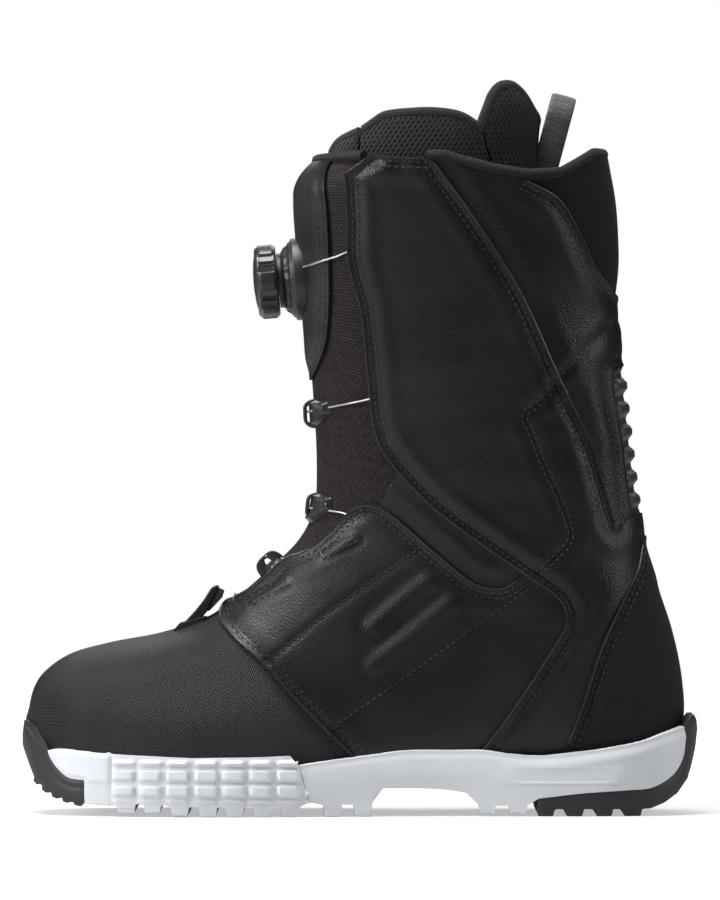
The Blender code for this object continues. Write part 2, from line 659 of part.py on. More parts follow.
def make_pull_loops(boot):
    """Webbing loop behind the liner and the folded tab at the front of the lacing."""
    loop = strap_loop("liner_pull_loop", 26, 36.5, 12, 1.8, 14, PULL_LOOP_HINGE)
    boot.part(loop, boot.webbing)
    tab = [(0, 0), (3.2, -3.0), (22.5, 11.2), (22.0, 15.6), (18.6, 18.8)]
    width = 22
    curve = flat_outline("toe_tab", tab, width)
    curve.matrix_world = (Matrix.Translation(
        (TOE_TAB_HINGE + Vector((0, float(toe_swing(TOE_TAB_HINGE.x)), 1.2))) * MM)
        @ Matrix.Rotation(math.pi / 2, 4, "X"))
    tab = boot.part(to_mesh(curve, "toe_tab"), boot.leather)
    seat = boot.cutter(core("tab_seat", SHELL_SECTIONS, -GAP, SHELL_GRID))
    boolean(tab, seat, "DIFFERENCE")
    return loop, tab


def dial_matrix():
    """Turns local Z to the dial's axis, which looks forward and a little down."""
    tilt = Matrix.Rotation(math.radians(-90 - DIAL_TILT), 4, "Y")
    return Matrix.Translation(DIAL_SEAT * MM) @ tilt


def knob_outline():
    """Wide grip pads with a groove between each two."""
    outline = []
    pitch = 2 * math.pi / KNOB_PADS
    for k in range(KNOB_PADS):
        for share, radius in ((-0.36, KNOB_RADIUS), (0.0, KNOB_RADIUS),
                              (0.36, KNOB_RADIUS), (0.41, KNOB_GROOVE_RADIUS),
                              (0.59, KNOB_GROOVE_RADIUS)):
            angle = (k + share) * pitch
            outline.append((radius * math.cos(angle), radius * math.sin(angle)))
    return outline


def make_dial(boot, lace_room):
    """Base, spool, drive disc, knob, cap and screw on one axis."""
    place = dial_matrix()
    base = turned("dial_base", [
        (NECK_RADIUS, 8.5), (NECK_RADIUS, 2.4), (FLANGE_RADIUS - 0.8, 2.2),
        (FLANGE_RADIUS, 1.2), (FLANGE_RADIUS, -9.0), (0, -9.0), (0, 1.0), (10.0, 1.0),
        (10.0, 8.5)])
    spool = turned("dial_spool", [
        (9.4, 5.6), (9.4, 4.8), (7.6, 4.2), (7.6, 2.8), (9.4, 2.2), (9.4, 1.4),
        (2.7, 1.4), (2.7, 5.6)])
    disc = turned("dial_drive_disc", [(9.4, 8.2), (9.4, 6.1), (2.7, 6.1), (2.7, 8.2)])
    screw = turned("dial_screw", [
        (0, 16.6), (3.6, 16.6), (4.4, 16.0), (4.4, 15.0), (2.2, 15.0), (2.2, 1.3),
        (0, 1.3)], 20)
    cap = turned("dial_cap", [
        (0, 19.9), (9.0, 19.6), (13.2, 18.9), (13.2, KNOB_TOP + GAP), (0, KNOB_TOP + GAP)])
    curve = flat_outline("dial_knob", knob_outline(), KNOB_TOP - KNOB_BOTTOM)
    curve.matrix_world = Matrix.Translation((0, 0, (KNOB_TOP + KNOB_BOTTOM) / 2 * MM))
    knob = to_mesh(curve, "dial_knob")
    knob.data.transform(knob.matrix_world)
    knob.matrix_world = Matrix.Identity(4)
    bore = turned("knob_bore", [
        (0, KNOB_TOP + 2), (5.2, KNOB_TOP + 2), (5.2, KNOB_BOTTOM + 3),
        (2.7, KNOB_BOTTOM + 3), (2.7, KNOB_BOTTOM - 2), (0, KNOB_BOTTOM - 2)])
    seat = boot.cutter(core("dial_seat", SHELL_SECTIONS, -GAP, SHELL_GRID))
    for obj in (base, spool, disc, screw, cap, knob, bore):
        obj.matrix_world = place
    boolean(base, seat, "DIFFERENCE")
    boolean(base, lace_room, "DIFFERENCE")
    boolean(knob, boot.cutter(bore), "DIFFERENCE")
    for obj in (base, spool, disc, cap, knob):
        boot.part(obj, boot.plastic)
    boot.part(screw, boot.steel)
    return base, spool, disc, knob, cap, screw


def sole_plan():
    """Outline of the sole seen from above."""
    plan = spline(SOLE_PLAN, np.linspace(0, 1, 33))
    outer = [(x, toe_swing(x) - w) for x, w in plan]
    inner = [(x, toe_swing(x) + w) for x, w in plan[::-1]]
    return outer + inner


def lugs(edges, foot, gap_top):
    """Bottom line of a row of lugs between pairs of x, with grooves up to gap_top."""
    line = []
    for start, end in edges:
        line += [(start, gap_top), (start + 0.6, foot), (end - 0.6, foot), (end, gap_top)]
    return line


def make_sole(boot):
    """Toe rubber, forefoot block, midsole, heel rubber and the pad in the heel."""
    plan = sole_plan()
    upper = boot.cutter(core("upper_room", SHELL_SECTIONS, -GAP, SHELL_GRID))
    toe = [(-154.4, 43), (-155.5, 36), (-155.6, 32), (-153, 25.6), (-150.6, 20),
           (-147.8, 15.3), (-143, 11.3), (-137, 8.5), (-132.4, 7), (-125.4, 5.6),
           (-125.4, 16.5), (-132.4, 17.4), (-137.5, 21), (-141.8, 26.6), (-143, 30.7),
           (-146.4, 36.3), (-149.7, 41)]
    forefoot_lugs = [(-110.9, -102), (-98.3, -90.5), (-85.9, -77.8), (-73.1, -65.1),
                     (-60.7, -52.9), (-48, -40.1), (-35.8, -28)]
    forefoot = [(-125.4, 5.6), (-113.2, 4.8)]
    forefoot += lugs(forefoot_lugs[:2], 2.0, 5.6) + lugs(forefoot_lugs[2:], 0.0, 4.4)
    forefoot += [(-23, 6.5), (-27.8, 23.4), (-31.8, 28), (-46.7, 27.4), (-76.5, 27),
                 (-113, 28.6), (-136, 30.6), (-142.6, 29.8), (-141.8, 26.6),
                 (-137.5, 21), (-132.4, 17.4), (-125.4, 16.5)]
    heel_top = [(82.5, 8.7), (102.5, 10.6), (121.7, 11.9), (132.6, 12.8), (141, 17),
                (145.5, 22), (148, 29), (148.7, 39.5)]
    midsole = [(-23, 6.5)] + lugs([(-16.5, -8.6), (-2.5, 5.2)], 0.0, 5.5)
    midsole += [(10.5, 12.8), (26.8, 12.8), (40.3, 12), (48.5, 10.6), (53, 6)]
    midsole += lugs([(54.7, 61.6), (68.5, 75.8)], 1.2, 5.0) + heel_top
    midsole += [(137.8, 37), (128, 33.8), (112.8, 31), (81, 27.5), (55.7, 30), (22, 30),
                (4, 27.8), (-17, 25), (-27.8, 23.4)]
    heel = lugs([(80.8, 88.6), (93.7, 101.9), (107.4, 115.2), (120.2, 128.5)], 0.0, 3.2)
    heel += [(132.6, 3.5), (139, 6), (145, 10), (150, 16.7), (152, 23), (153.8, 30),
             (155, 39), (154.5, 43.4), (153, 46)] + heel_top[::-1]
    pieces = (("outsole_toe_rubber", toe, boot.rubber),
              ("outsole_forefoot", forefoot, boot.white),
              ("midsole", midsole, boot.white),
              ("outsole_heel_rubber", heel, boot.rubber))
    pocket = turned("pad_pocket", [(0, 21.0), (26.0, 21.0), (26.0, 14.8), (0, 14.8)])
    pocket.location = Vector((108, 0, 0)) * MM
    boot.cutter(pocket)
    for name, outline, finish_material in pieces:
        blank = plan_prism(name, plan, -5, SOLE_HEIGHT)
        prism = side_prism(name + "_outline", inset_outline(outline, HALF_GAP), -90, 90)
        boolean(blank, boot.cutter(prism), "INTERSECT")
        boolean(blank, upper, "DIFFERENCE")
        if name == "midsole":
            boolean(blank, pocket, "DIFFERENCE")
        boot.part(blank, finish_material)
    pad = turned("heel_shock_pad", [(0, 19.3), (25.5, 19.3), (25.5, 15.1), (0, 15.1)])
    pad.location = Vector((108, 0, 0)) * MM
    boot.part(pad, boot.gel)


def clear_scene():
    for obj in list(bpy.data.objects):
        bpy.data.objects.remove(obj)


def build():
    clear_scene()
    boot = Boot()
    lace, lace_room = make_lace(boot)
    make_upper(boot, lace_room)
    make_inner_supports(boot)
    make_binding(boot)
    tongue_pieces = make_tongue(boot, lace_room)
    liner_tongue = make_liner(boot)
    loop, tab = make_pull_loops(boot)
    base, spool, disc, knob, cap, screw = make_dial(boot, lace_room)
    make_sole(boot)
    tongue_axis = empty("tongue_axis", TONGUE_HINGE, boot.parts)
    flap_axis = empty("liner_tongue_axis", TONGUE_HINGE, boot.parts)
    loop_axis = empty("pull_loop_axis", PULL_LOOP_HINGE, boot.parts)
    tab_axis = empty("toe_tab_axis", TOE_TAB_HINGE, boot.parts)
    carry(tongue_axis, lace, base, spool, disc, knob, cap, screw, *tongue_pieces)
    carry(flap_axis, liner_tongue)
    carry(loop_axis, loop)
    carry(tab_axis, tab)


build()
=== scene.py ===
"""Looks of the snowboard boot: leather upper, knit tongue, padded liner, dial and sole.

Frame: toe towards -X, outer side of the foot towards -Y, +Z up, sole on Z = 0.
Shapes are worked out in millimetres; MM turns them into metres.
The upper is one lofted surface. A patch is the part of it inside a side-view outline,
raised by its own height field, so that it overlaps its neighbour as sewn leather does.
"""
import math

import bmesh
import bpy
import numpy as np
from mathutils import Matrix, Vector
from mathutils.bvhtree import BVHTree
from mathutils.kdtree import KDTree


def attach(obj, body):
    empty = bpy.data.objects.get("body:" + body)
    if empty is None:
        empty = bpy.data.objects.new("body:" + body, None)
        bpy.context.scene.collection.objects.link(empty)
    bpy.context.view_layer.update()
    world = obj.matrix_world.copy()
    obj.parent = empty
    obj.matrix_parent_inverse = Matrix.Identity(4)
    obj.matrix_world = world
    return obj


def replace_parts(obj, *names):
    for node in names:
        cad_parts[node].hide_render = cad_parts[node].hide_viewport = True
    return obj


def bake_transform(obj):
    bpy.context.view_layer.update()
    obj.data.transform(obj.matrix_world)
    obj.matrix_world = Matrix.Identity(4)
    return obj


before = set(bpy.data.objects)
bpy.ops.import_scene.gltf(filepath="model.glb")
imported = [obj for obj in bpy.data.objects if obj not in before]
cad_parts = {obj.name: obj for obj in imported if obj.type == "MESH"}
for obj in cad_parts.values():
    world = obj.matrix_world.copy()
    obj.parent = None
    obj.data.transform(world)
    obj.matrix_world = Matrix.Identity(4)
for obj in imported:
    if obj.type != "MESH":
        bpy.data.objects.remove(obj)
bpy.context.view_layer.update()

MM = 0.001
OUTER, INNER, BOTH = -1, 1, 0
CHUNK = 3000               # points measured at a time, to keep the memory small

# Sections of the upper: front x, z; back x, z; half width; height of the widest
# point (-1 at the back, 1 at the front); squareness of the front and of the back half
SHELL_SECTIONS = [
    (-154.2, 44.0, -154.2, 42.6, 1.6, -0.10, 2.0, 2.0),
    (-153.0, 47.5, -153.0, 39.0, 9.0, -0.10, 2.0, 2.2),
    (-150.5, 57.5, -149.5, 28.0, 22.0, -0.20, 2.0, 2.5),
    (-145.0, 65.5, -142.0, 20.5, 32.5, -0.30, 2.1, 2.9),
    (-133.0, 73.5, -129.0, 16.0, 42.5, -0.36, 2.1, 3.3),
    (-114.0, 78.8, -110.0, 14.5, 49.5, -0.40, 2.1, 3.6),
    (-91.0, 83.3, -87.0, 14.0, 53.0, -0.42, 2.1, 3.8),
    (-70.0, 91.0, -60.0, 14.0, 53.5, -0.45, 2.0, 3.8),
    (-54.0, 104.5, -30.0, 14.5, 51.0, -0.48, 1.95, 3.8),
    (-41.0, 116.0, 0.0, 15.5, 47.5, -0.50, 1.95, 3.8),
    (-30.5, 126.5, 32.0, 17.0, 45.0, -0.48, 1.95, 3.7),
    (-24.5, 137.0, 64.0, 19.0, 43.5, -0.44, 1.95, 3.5),
    (-22.3, 147.0, 95.0, 20.0, 42.5, -0.40, 1.95, 3.2),
    (-22.0, 156.0, 122.0, 21.0, 42.0, -0.36, 2.0, 2.9),
    (-22.2, 163.5, 140.0, 27.0, 41.5, -0.32, 2.0, 2.6),
    (-22.5, 170.0, 148.5, 42.0, 41.5, -0.28, 2.05, 2.4),
    (-22.8, 176.5, 148.2, 62.0, 41.8, -0.24, 2.05, 2.3),
    (-23.3, 184.0, 143.5, 85.0, 42.2, -0.20, 2.1, 2.2),
    (-23.8, 192.0, 136.0, 108.0, 42.8, -0.16, 2.1, 2.2),
    (-24.4, 200.0, 130.3, 133.0, 43.5, -0.12, 2.1, 2.2),
    (-25.2, 209.0, 127.0, 155.0, 44.3, -0.09, 2.1, 2.2),
    (-26.0, 219.0, 124.3, 179.0, 45.3, -0.06, 2.15, 2.2),
    (-27.0, 231.0, 121.5, 205.0, 46.6, -0.03, 2.15, 2.2),
    (-28.3, 245.0, 119.0, 231.0, 48.0, 0.0, 2.2, 2.2),
    (-29.7, 261.0, 119.0, 256.0, 49.6, 0.0, 2.2, 2.2),
    (-30.9, 278.0, 117.8, 279.0, 51.0, 0.0, 2.2, 2.2),
    (-30.6, 293.0, 115.0, 296.0, 52.0, 0.0, 2.2, 2.2),
    (-29.0, 306.0, 112.5, 309.0, 52.5, 0.0, 2.2, 2.2),
]
# The liner follows the shell up to the calf, then leans forward out of the collar
LINER_SECTIONS = SHELL_SECTIONS[:24] + [
    (-29.2, 259.0, 111.5, 252.0, 49.0, 0.0, 2.2, 2.2),
    (-29.4, 275.0, 101.0, 272.0, 49.0, 0.0, 2.2, 2.2),
    (-28.8, 291.0, 91.0, 291.0, 48.5, 0.0, 2.2, 2.2),
    (-27.2, 307.0, 89.5, 309.0, 48.0, 0.0, 2.2, 2.2),
    (-25.2, 323.0, 93.0, 327.0, 47.5, 0.0, 2.2, 2.2),
    (-23.0, 337.0, 88.0, 349.0, 46.5, 0.0, 2.2, 2.2),
]

# Seams of the upper in the side view
COLLAR_LINE = [
    (-45, 303.0), (-2, 303.0), (8, 302.7), (24.7, 301.7), (38.6, 301.2), (47.5, 298.5),
    (62.4, 295.0), (77.4, 292.6), (92.2, 294.0), (100.2, 298.5), (107, 303.0), (120, 304.0),
]
TOE_SEAM = [
    (-60.5, 112), (-61.5, 100), (-63.6, 88.5), (-45, 70), (-25, 48.7), (-3.3, 27.3), (8, 15),
]
SADDLE_TOP = [
    (-61.5, 98), (-48, 105.4), (-35, 117.3), (-27, 120.3), (-19, 125.2), (-9.2, 135.2),
    (-3.2, 140), (2.7, 142), (8.7, 141), (16.6, 136), (31.5, 123), (46.4, 110.4),
    (54.4, 105.4), (61.3, 104), (66.3, 104.4), (74.8, 110.6),
]
QUARTER_FRONT = [
    (0.5, 300.6), (-6.3, 293.5), (-5.3, 270), (-5.3, 258), (-3.4, 246), (0.5, 232),
    (2.4, 217), (4.8, 193), (6, 180), (9.5, 169), (16.5, 158.5),
]
QUARTER_LOW = [
    (16.5, 158.5), (27, 147), (36.4, 138.4), (52.8, 126), (74.8, 110.6), (88.8, 100.8),
    (93.7, 94), (94, 89), (92, 83), (72.4, 52.7), (55.7, 30.5), (45, 16),
]
DIAGONAL_SEAM = [
    (33.3, 299.2), (54.5, 270), (73.7, 238.6), (91, 200), (105.4, 170), (111.2, 151),
    (117, 132),
]
COLLAR_MESH_EDGE = [(76, 290.4), (91.7, 281), (101.8, 264), (110.5, 247), (130, 226)]
FLEX_EDGE = [
    (134, 207), (121.8, 206), (117, 203), (116, 198.4), (120.2, 171), (121.8, 155),
    (126.7, 136.3), (148, 140),
]
HEEL_SEAM = [
    (150, 128), (131.7, 128), (126.6, 112), (118.8, 96), (109.7, 75.6), (100.5, 48),
    (92.7, 29), (86, 15),
]
ANKLE_CONTOUR = [
    (90, 198), (81, 188), (75, 183), (78.5, 174), (83.4, 161), (90, 147), (94.5, 135),
    (95.3, 125), (82, 111.4),
]
SADDLE_CORNER = 8    # point of SADDLE_TOP where the ankle underlay begins
UNDERLAY_END = 4     # point of QUARTER_LOW where it ends

COLLAR_START = 0.458       # share of a half turn from the front where the binding begins

# Liner
LINER_DEPTH = 7.6          # its face, in from the liner sections
LINER_WALL = 6.2
LINER_TOP = [
    (-40, 301.5), (-21, 301.5), (-18, 308.4), (0, 315.3), (7.8, 320), (22.7, 321.3),
    (34.6, 321.3), (47.5, 319), (58.5, 312.4), (62.4, 322.3), (65.4, 330.3), (72.4, 336.0),
    (77.4, 334.2), (83.3, 329.3), (88, 320), (105, 300),
]
LINER_FLAP_EDGE = [(-60, 150), (12, 165), (4, 200), (-2, 240), (-4, 300), (-4, 330)]
LINER_VAMP_EDGE = [(12, 165), (30, 120), (40, 60), (44, 5)]
LINER_COLLAR_EDGE = [(58.5, 340), (58.5, 312), (72, 286), (120, 276)]

# Sole in plan: x, half width, mm; and how far the toe swings to the inner side
SOLE_PLAN = [
    (-155.6, 4.0), (-153.5, 14), (-148, 27), (-137, 39), (-118, 50), (-92, 56), (-65, 57),
    (-38, 54.5), (-8, 49.5), (25, 45.5), (60, 44), (95, 44.5), (118, 43.5), (136, 37),
    (148, 25), (153.6, 13), (155.6, 4.0),
]
TOE_SWING = 7.0
TOE_SWING_START = -20.0
BOOT_FRONT = -155.6

# Dial
DIAL_SEAT = Vector((-29.0, 0.0, 246.0))
DIAL_TILT = 5.0      # degrees that the dial's face looks down

# Padding
TONGUE_PUFF_CAP = 0.7      # how far the cloth simulation may move a point, mm
LINER_PUFF_CAP = 1.6

# Grids, as rows and points round: read surfaces, then the patches cut from them.
# The cloth's patches are coarse, and get finer after the simulation.
SHELL_GRID, LINER_GRID = (1200, 760), (900, 600)
PANEL_PATCHES, SOLE_PATCHES = (520, 380), (64, 560)
TONGUE_PATCHES, LINER_PATCHES = (150, 96), (110, 84)

AIR_PRESSURE = 4.0
CLOTH_FRAMES = 20

LACE_RADIUS = 0.55
STITCH_PITCH = 3.2
STITCH_LENGTH = 2.3
STITCH_RADIUS = 0.36
STITCH_LIFT = 0.12         # height of a stitch's middle over the leather
WELT_RADIUS = 0.5
WELT_STEP = 1.2
SKIN_MISS = 0.8            # how far off its line a found point may lie
SIDE_REACH = 0.485         # share of a half turn that counts as one side of the boot
DOUBLE_ROW = (2.4, 4.8)    # distances of the two stitch rows from an edge


# ---------------------------------------------------------------- surface of the upper

def spline(rows, positions):
    """Smooth curve through the rows, read at positions from 0 to 1."""
    rows = np.asarray(rows, dtype=float)
    last = len(rows) - 1
    padded = np.vstack([2 * rows[0] - rows[1], rows, 2 * rows[-1] - rows[-2]])
    along = np.clip(np.asarray(positions, dtype=float), 0, 1) * last
    cell = np.minimum(along.astype(int), last - 1)
    u = (along - cell)[..., None]
    a, b, c, d = (padded[cell + k] for k in range(4))
    return 0.5 * (2 * b + (c - a) * u + (2 * a - 5 * b + 4 * c - d) * u ** 2
                  + (3 * b - a - 3 * c + d) * u ** 3)


def unit(vectors):
    """Vectors of length 1, one per row of the last axis."""
    return vectors / np.maximum(np.linalg.norm(vectors, axis=-1, keepdims=True), 1e-9)


def path_length(points):
    """Length of a polyline up to each of its points."""
    steps = np.linalg.norm(np.diff(points, axis=0), axis=1)
    return np.concatenate([[0], np.cumsum(steps)])


def even(points, spacing):
    """Points a given distance apart along a polyline."""
    points = np.asarray(points, dtype=float)
    along = path_length(points)
    count = max(int(round(along[-1] / spacing)), 1)
    where = np.linspace(0, along[-1], count + 1)
    return np.stack([np.interp(where, along, points[:, k])
                     for k in range(points.shape[1])], axis=1)


def smooth(points, spacing=1.6):
    """An even, smooth line through a seam's points."""
    return even(spline(points, np.linspace(0, 1, 24 * len(points))), spacing)


def toe_swing(x):
    """Shift of the boot's middle towards the inner side, growing to the toe."""
    reach = np.clip((TOE_SWING_START - x) / (TOE_SWING_START - BOOT_FRONT), 0, 1)
    return TOE_SWING * reach ** 1.5


def surface(sections, rows, around):
    """One ring of points per row: angle 0 at the front, growing over the outer side."""
    table = spline(sections, np.linspace(0, 1, 8 * len(sections)))
    where = np.linspace(0, 1, rows) * (len(table) - 1)

    def read(column):
        return np.interp(where, np.arange(len(table)), table[:, column])[:, None]

    angle = full_turn(around)[None, :]
    cos, sin = np.cos(angle), np.sin(angle)
    power = 2 / np.where(cos >= 0, read(6), read(7))
    lift = np.sign(cos) * np.abs(cos) ** power
    spread = np.sign(sin) * np.abs(sin) ** power
    widest = read(5)
    t = widest + np.where(cos >= 0, 1 - widest, 1 + widest) * lift
    x = (read(0) * (1 + t) + read(2) * (1 - t)) / 2
    z = (read(1) * (1 + t) + read(3) * (1 - t)) / 2
    y = toe_swing(x) - read(4) * spread
    return np.stack([x, y, z], axis=-1)


def full_turn(count):
    """Angles once round, with the back at both ends."""
    return np.linspace(-math.pi, math.pi, count + 1)


class Skin:
    """A grid of points that can be read at any row (0 to 1) and angle (-pi to pi)."""

    def __init__(self, points):
        self.points = points
        self.rows, self.around = points.shape[0], points.shape[1] - 1
        rows, around = self.rows, self.around
        along = np.gradient(self.points, axis=0)
        across = np.gradient(self.points, axis=1)
        across[:, 0] = across[:, -1] = (self.points[:, 1] - self.points[:, -2]) / 2
        self.normals = unit(np.cross(across, along))
        middle = self.points.mean(axis=1, keepdims=True)
        if np.sum((self.points - middle) * self.normals) < 0:
            self.normals *= -1
        girth = np.cumsum(np.linalg.norm(np.diff(self.points, axis=1), axis=2), axis=1)
        girth = np.concatenate([np.zeros((rows, 1)), girth], axis=1)
        self.girth = girth - girth[:, around // 2][:, None]
        self.reach = path_length(self.points[:, around // 4])
        self.front_reach = path_length(self.points[:, around // 2])
        self.seeds = {}

    def read(self, values, row, angle):
        """Bilinear reading of a grid of values."""
        i = np.clip(row, 0, 1) * (self.rows - 1)
        j = np.clip((angle + math.pi) / (2 * math.pi), 0, 1) * self.around
        i0 = np.minimum(i.astype(int), self.rows - 2)
        j0 = np.minimum(j.astype(int), self.around - 1)
        s, t = (i - i0)[..., None], (j - j0)[..., None]
        return ((values[i0, j0] * (1 - t) + values[i0, j0 + 1] * t) * (1 - s)
                + (values[i0 + 1, j0] * (1 - t) + values[i0 + 1, j0 + 1] * t) * s)

    def seen(self, row, angle):
        """Points of the surface in the side view: x and z."""
        return self.read(self.points, row, angle)[:, ::2]

    def place(self, row, angle, height):
        """Points a height above the surface, and the normals there."""
        normal = unit(self.read(self.normals, row, angle))
        return self.read(self.points, row, angle) + normal * height[..., None], normal

    def cloth_position(self, row, angle, along_front):
        """Position on the surface in metres, for weaves: round the boot, and along it."""
        round_it = self.read(self.girth[..., None], row, angle)[..., 0]
        reach = self.front_reach if along_front else self.reach
        along_it = np.interp(row, np.linspace(0, 1, self.rows), reach)
        return np.stack([round_it, along_it], axis=-1) * MM

    def plant_seeds(self):
        """A coarse set of grid points on each side, from which a search starts."""
        half = self.around // 2
        for side, columns in ((OUTER, range(half, self.around + 1, 4)),
                              (INNER, range(0, half + 1, 4))):
            spots = [(i, j) for i in range(0, self.rows, 4) for j in columns]
            tree = KDTree(len(spots))
            for index, (i, j) in enumerate(spots):
                x, _, z = self.points[i, j]
                tree.insert((x, 0, z), index)
            tree.balance()
            self.seeds[side] = tree, spots

    def find(self, line, side):
        """Row and angle of the points that show at (x, z) on one side."""
        line = np.asarray(line, dtype=float)
        if not self.seeds:
            self.plant_seeds()
        tree, spots = self.seeds[side]
        start = np.array([spots[tree.find((x, 0, z))[1]] for x, z in line], dtype=float)
        row = start[:, 0] / (self.rows - 1)
        angle = start[:, 1] / self.around * 2 * math.pi - math.pi
        low, high = (0.0, math.pi) if side == OUTER else (-math.pi, 0.0)
        step_r, step_a = 1 / self.rows, 2 * math.pi / self.around
        for _ in range(8):
            here = self.seen(row, angle)
            by_r = (self.seen(row + step_r, angle) - self.seen(row - step_r, angle)) / 2
            by_a = (self.seen(row, angle + step_a) - self.seen(row, angle - step_a)) / 2
            miss = line - here
            frames = np.stack([by_r, by_a], axis=2)
            square = np.einsum("nij,nik->njk", frames, frames) + np.eye(2) * 1e-3
            pull = np.einsum("nij,ni->nj", frames, miss)
            move = np.linalg.solve(square, pull[..., None])[..., 0]
            move = np.clip(move, -6, 6)
            row = np.clip(row + move[:, 0] * step_r, 0, 1)
            angle = np.clip(angle + move[:, 1] * step_a, low, high)
        return row, angle


def on_skin(skin, line, side):
    """Points of the skin that show on a side-view line, their normals, and which of
    them can be trusted: they lie on the line and aren't on the middle of the boot."""
    row, angle = skin.find(line, side)
    points, normals = skin.place(row, angle, np.zeros(len(row)))
    on_line = np.linalg.norm(points[:, ::2] - line, axis=1) < SKIN_MISS
    beside = np.abs(np.abs(angle) - math.pi / 2) < SIDE_REACH * math.pi
    return points, normals, on_line & beside


def nearest(points, start, edge):
    """Distance of points to the nearest of some segments."""
    length = np.maximum(np.sum(edge ** 2, axis=1), 1e-9)
    offset = points[:, None] - start[None]
    t = np.clip(np.sum(offset * edge, axis=2) / length, 0, 1)
    return np.linalg.norm(offset - t[..., None] * edge, axis=2).min(axis=1)


def signed_distance(outline, x, z, margin=12.0):
    """Distance of points to a closed outline in the side view, positive inside."""
    outline = np.asarray(outline, dtype=float)
    low, high = outline.min(axis=0) - margin, outline.max(axis=0) + margin
    near = (x > low[0]) & (x < high[0]) & (z > low[1]) & (z < high[1])
    result = np.full(x.shape, -margin)
    points = np.stack([x[near], z[near]], axis=1)
    start, end = outline, np.roll(outline, -1, axis=0)
    edge = end - start
    values = []
    for chunk in np.array_split(points, max(len(points) // CHUNK, 1)):
        gap = nearest(chunk, start, edge)
        above = (start[:, 1] > chunk[:, 1:]) != (end[:, 1] > chunk[:, 1:])
        rise = np.where(np.abs(edge[:, 1]) < 1e-9, 1e-9, edge[:, 1])
        cross = start[:, 0] + (chunk[:, 1:] - start[:, 1]) * edge[:, 0] / rise
        inside = np.sum(above & (chunk[:, :1] < cross), axis=1) % 2 == 1
        values.append(np.where(inside, gap, -gap))
    result[near] = np.concatenate(values)
    return result


def line_distance(line, points):
    """Distance of points to an open line in the side view."""
    line = np.asarray(line, dtype=float)
    flat = points[..., ::2].reshape(-1, 2)
    gaps = [nearest(chunk, line[:-1], np.diff(line, axis=0))
            for chunk in np.array_split(flat, max(len(flat) // CHUNK, 1))]
    return np.concatenate(gaps).reshape(points.shape[:-1])


def bump(distance, width):
    """A smooth bell of height 1, about twice width across."""
    return np.exp(-(distance / width) ** 2)


def ramp(value, start, end):
    """0 before start, 1 after end, smooth between."""
    t = np.clip((value - start) / (end - start), 0, 1)
    return t * t * (3 - 2 * t)


def ripple(points, size, seed, waves=7):
    """Soft irregular waves of about the given size, from -1 to 1."""
    draw = np.random.default_rng(seed)
    total = np.zeros(points.shape[:-1])
    for _ in range(waves):
        way = draw.normal(size=3)
        way /= np.linalg.norm(way)
        scale = size * draw.uniform(0.6, 1.6)
        total += np.sin(points @ way * 2 * math.pi / scale + draw.uniform(0, 6.28))
    return total / waves


# ---------------------------------------------------------------- materials

class Paint:
    """One procedural material, built node by node."""

    def __init__(self, name, colour, roughness, **sockets):
        self.material = bpy.data.materials.new(name)
        self.material.use_nodes = True
        self.tree = self.material.node_tree
        self.shader = self.tree.nodes["Principled BSDF"]
        self.shader.inputs["Base Color"].default_value = (*colour, 1)
        self.shader.inputs["Roughness"].default_value = roughness
        self.height = None
        for socket, value in sockets.items():
            self.shader.inputs[socket.replace("_", " ")].default_value = value
        self.coordinates = self.tree.nodes.new("ShaderNodeTexCoord")

    def node(self, kind, settings=None, **inputs):
        made = self.tree.nodes.new("ShaderNode" + kind)
        for key, value in (settings or {}).items():
            setattr(made, key, value)
        for key, value in inputs.items():
            socket = made.inputs[int(key[1:])] if key[0] == "i" and key[1:].isdigit() \
                else made.inputs[key.replace("_", " ")]
            if isinstance(value, bpy.types.NodeSocket):
                self.tree.links.new(value, socket)
            else:
                socket.default_value = value
        return made

    def math(self, operation, first, second=0.0):
        return self.node("Math", {"operation": operation}, i0=first, i1=second).outputs[0]

    def space(self, kind, scale, turn=0.0):
        """Texture coordinates: Object or UV, scaled per axis and turned about Z."""
        mapping = self.node("Mapping", Vector=self.coordinates.outputs[kind])
        mapping.inputs["Scale"].default_value = scale
        mapping.inputs["Rotation"].default_value = (0, 0, turn)
        return mapping.outputs[0]

    def noise(self, place, scale, detail=3.0):
        return self.node("TexNoise", Vector=place, Scale=scale, Detail=detail).outputs[0]

    def cells(self, place, scale, randomness):
        return self.node("TexVoronoi", Vector=place, Scale=scale,
                         Randomness=randomness).outputs["Distance"]

    def between(self, value, low, high, start=0.0, end=1.0):
        return self.node("MapRange", Value=value, From_Min=start, From_Max=end,
                         To_Min=low, To_Max=high).outputs[0]

    def colours(self, value, *stops):
        """Two colours and where each starts."""
        made = self.node("ValToRGB", Fac=value)
        for element, (position, colour) in zip(made.color_ramp.elements, stops):
            element.position = position
            element.color = (*colour, 1)
        return made.outputs[0]

    def relief(self, value, distance, strength=1.0):
        """Adds a bump; later ones sit on top of earlier ones. Distance in mm."""
        made = self.node("Bump", Height=value, Strength=strength, Distance=distance * MM)
        if self.height is not None:
            self.tree.links.new(self.height, made.inputs["Normal"])
        self.height = made.outputs[0]
        self.tree.links.new(self.height, self.shader.inputs["Normal"])

    def set(self, socket, value):
        self.tree.links.new(value, self.shader.inputs[socket])


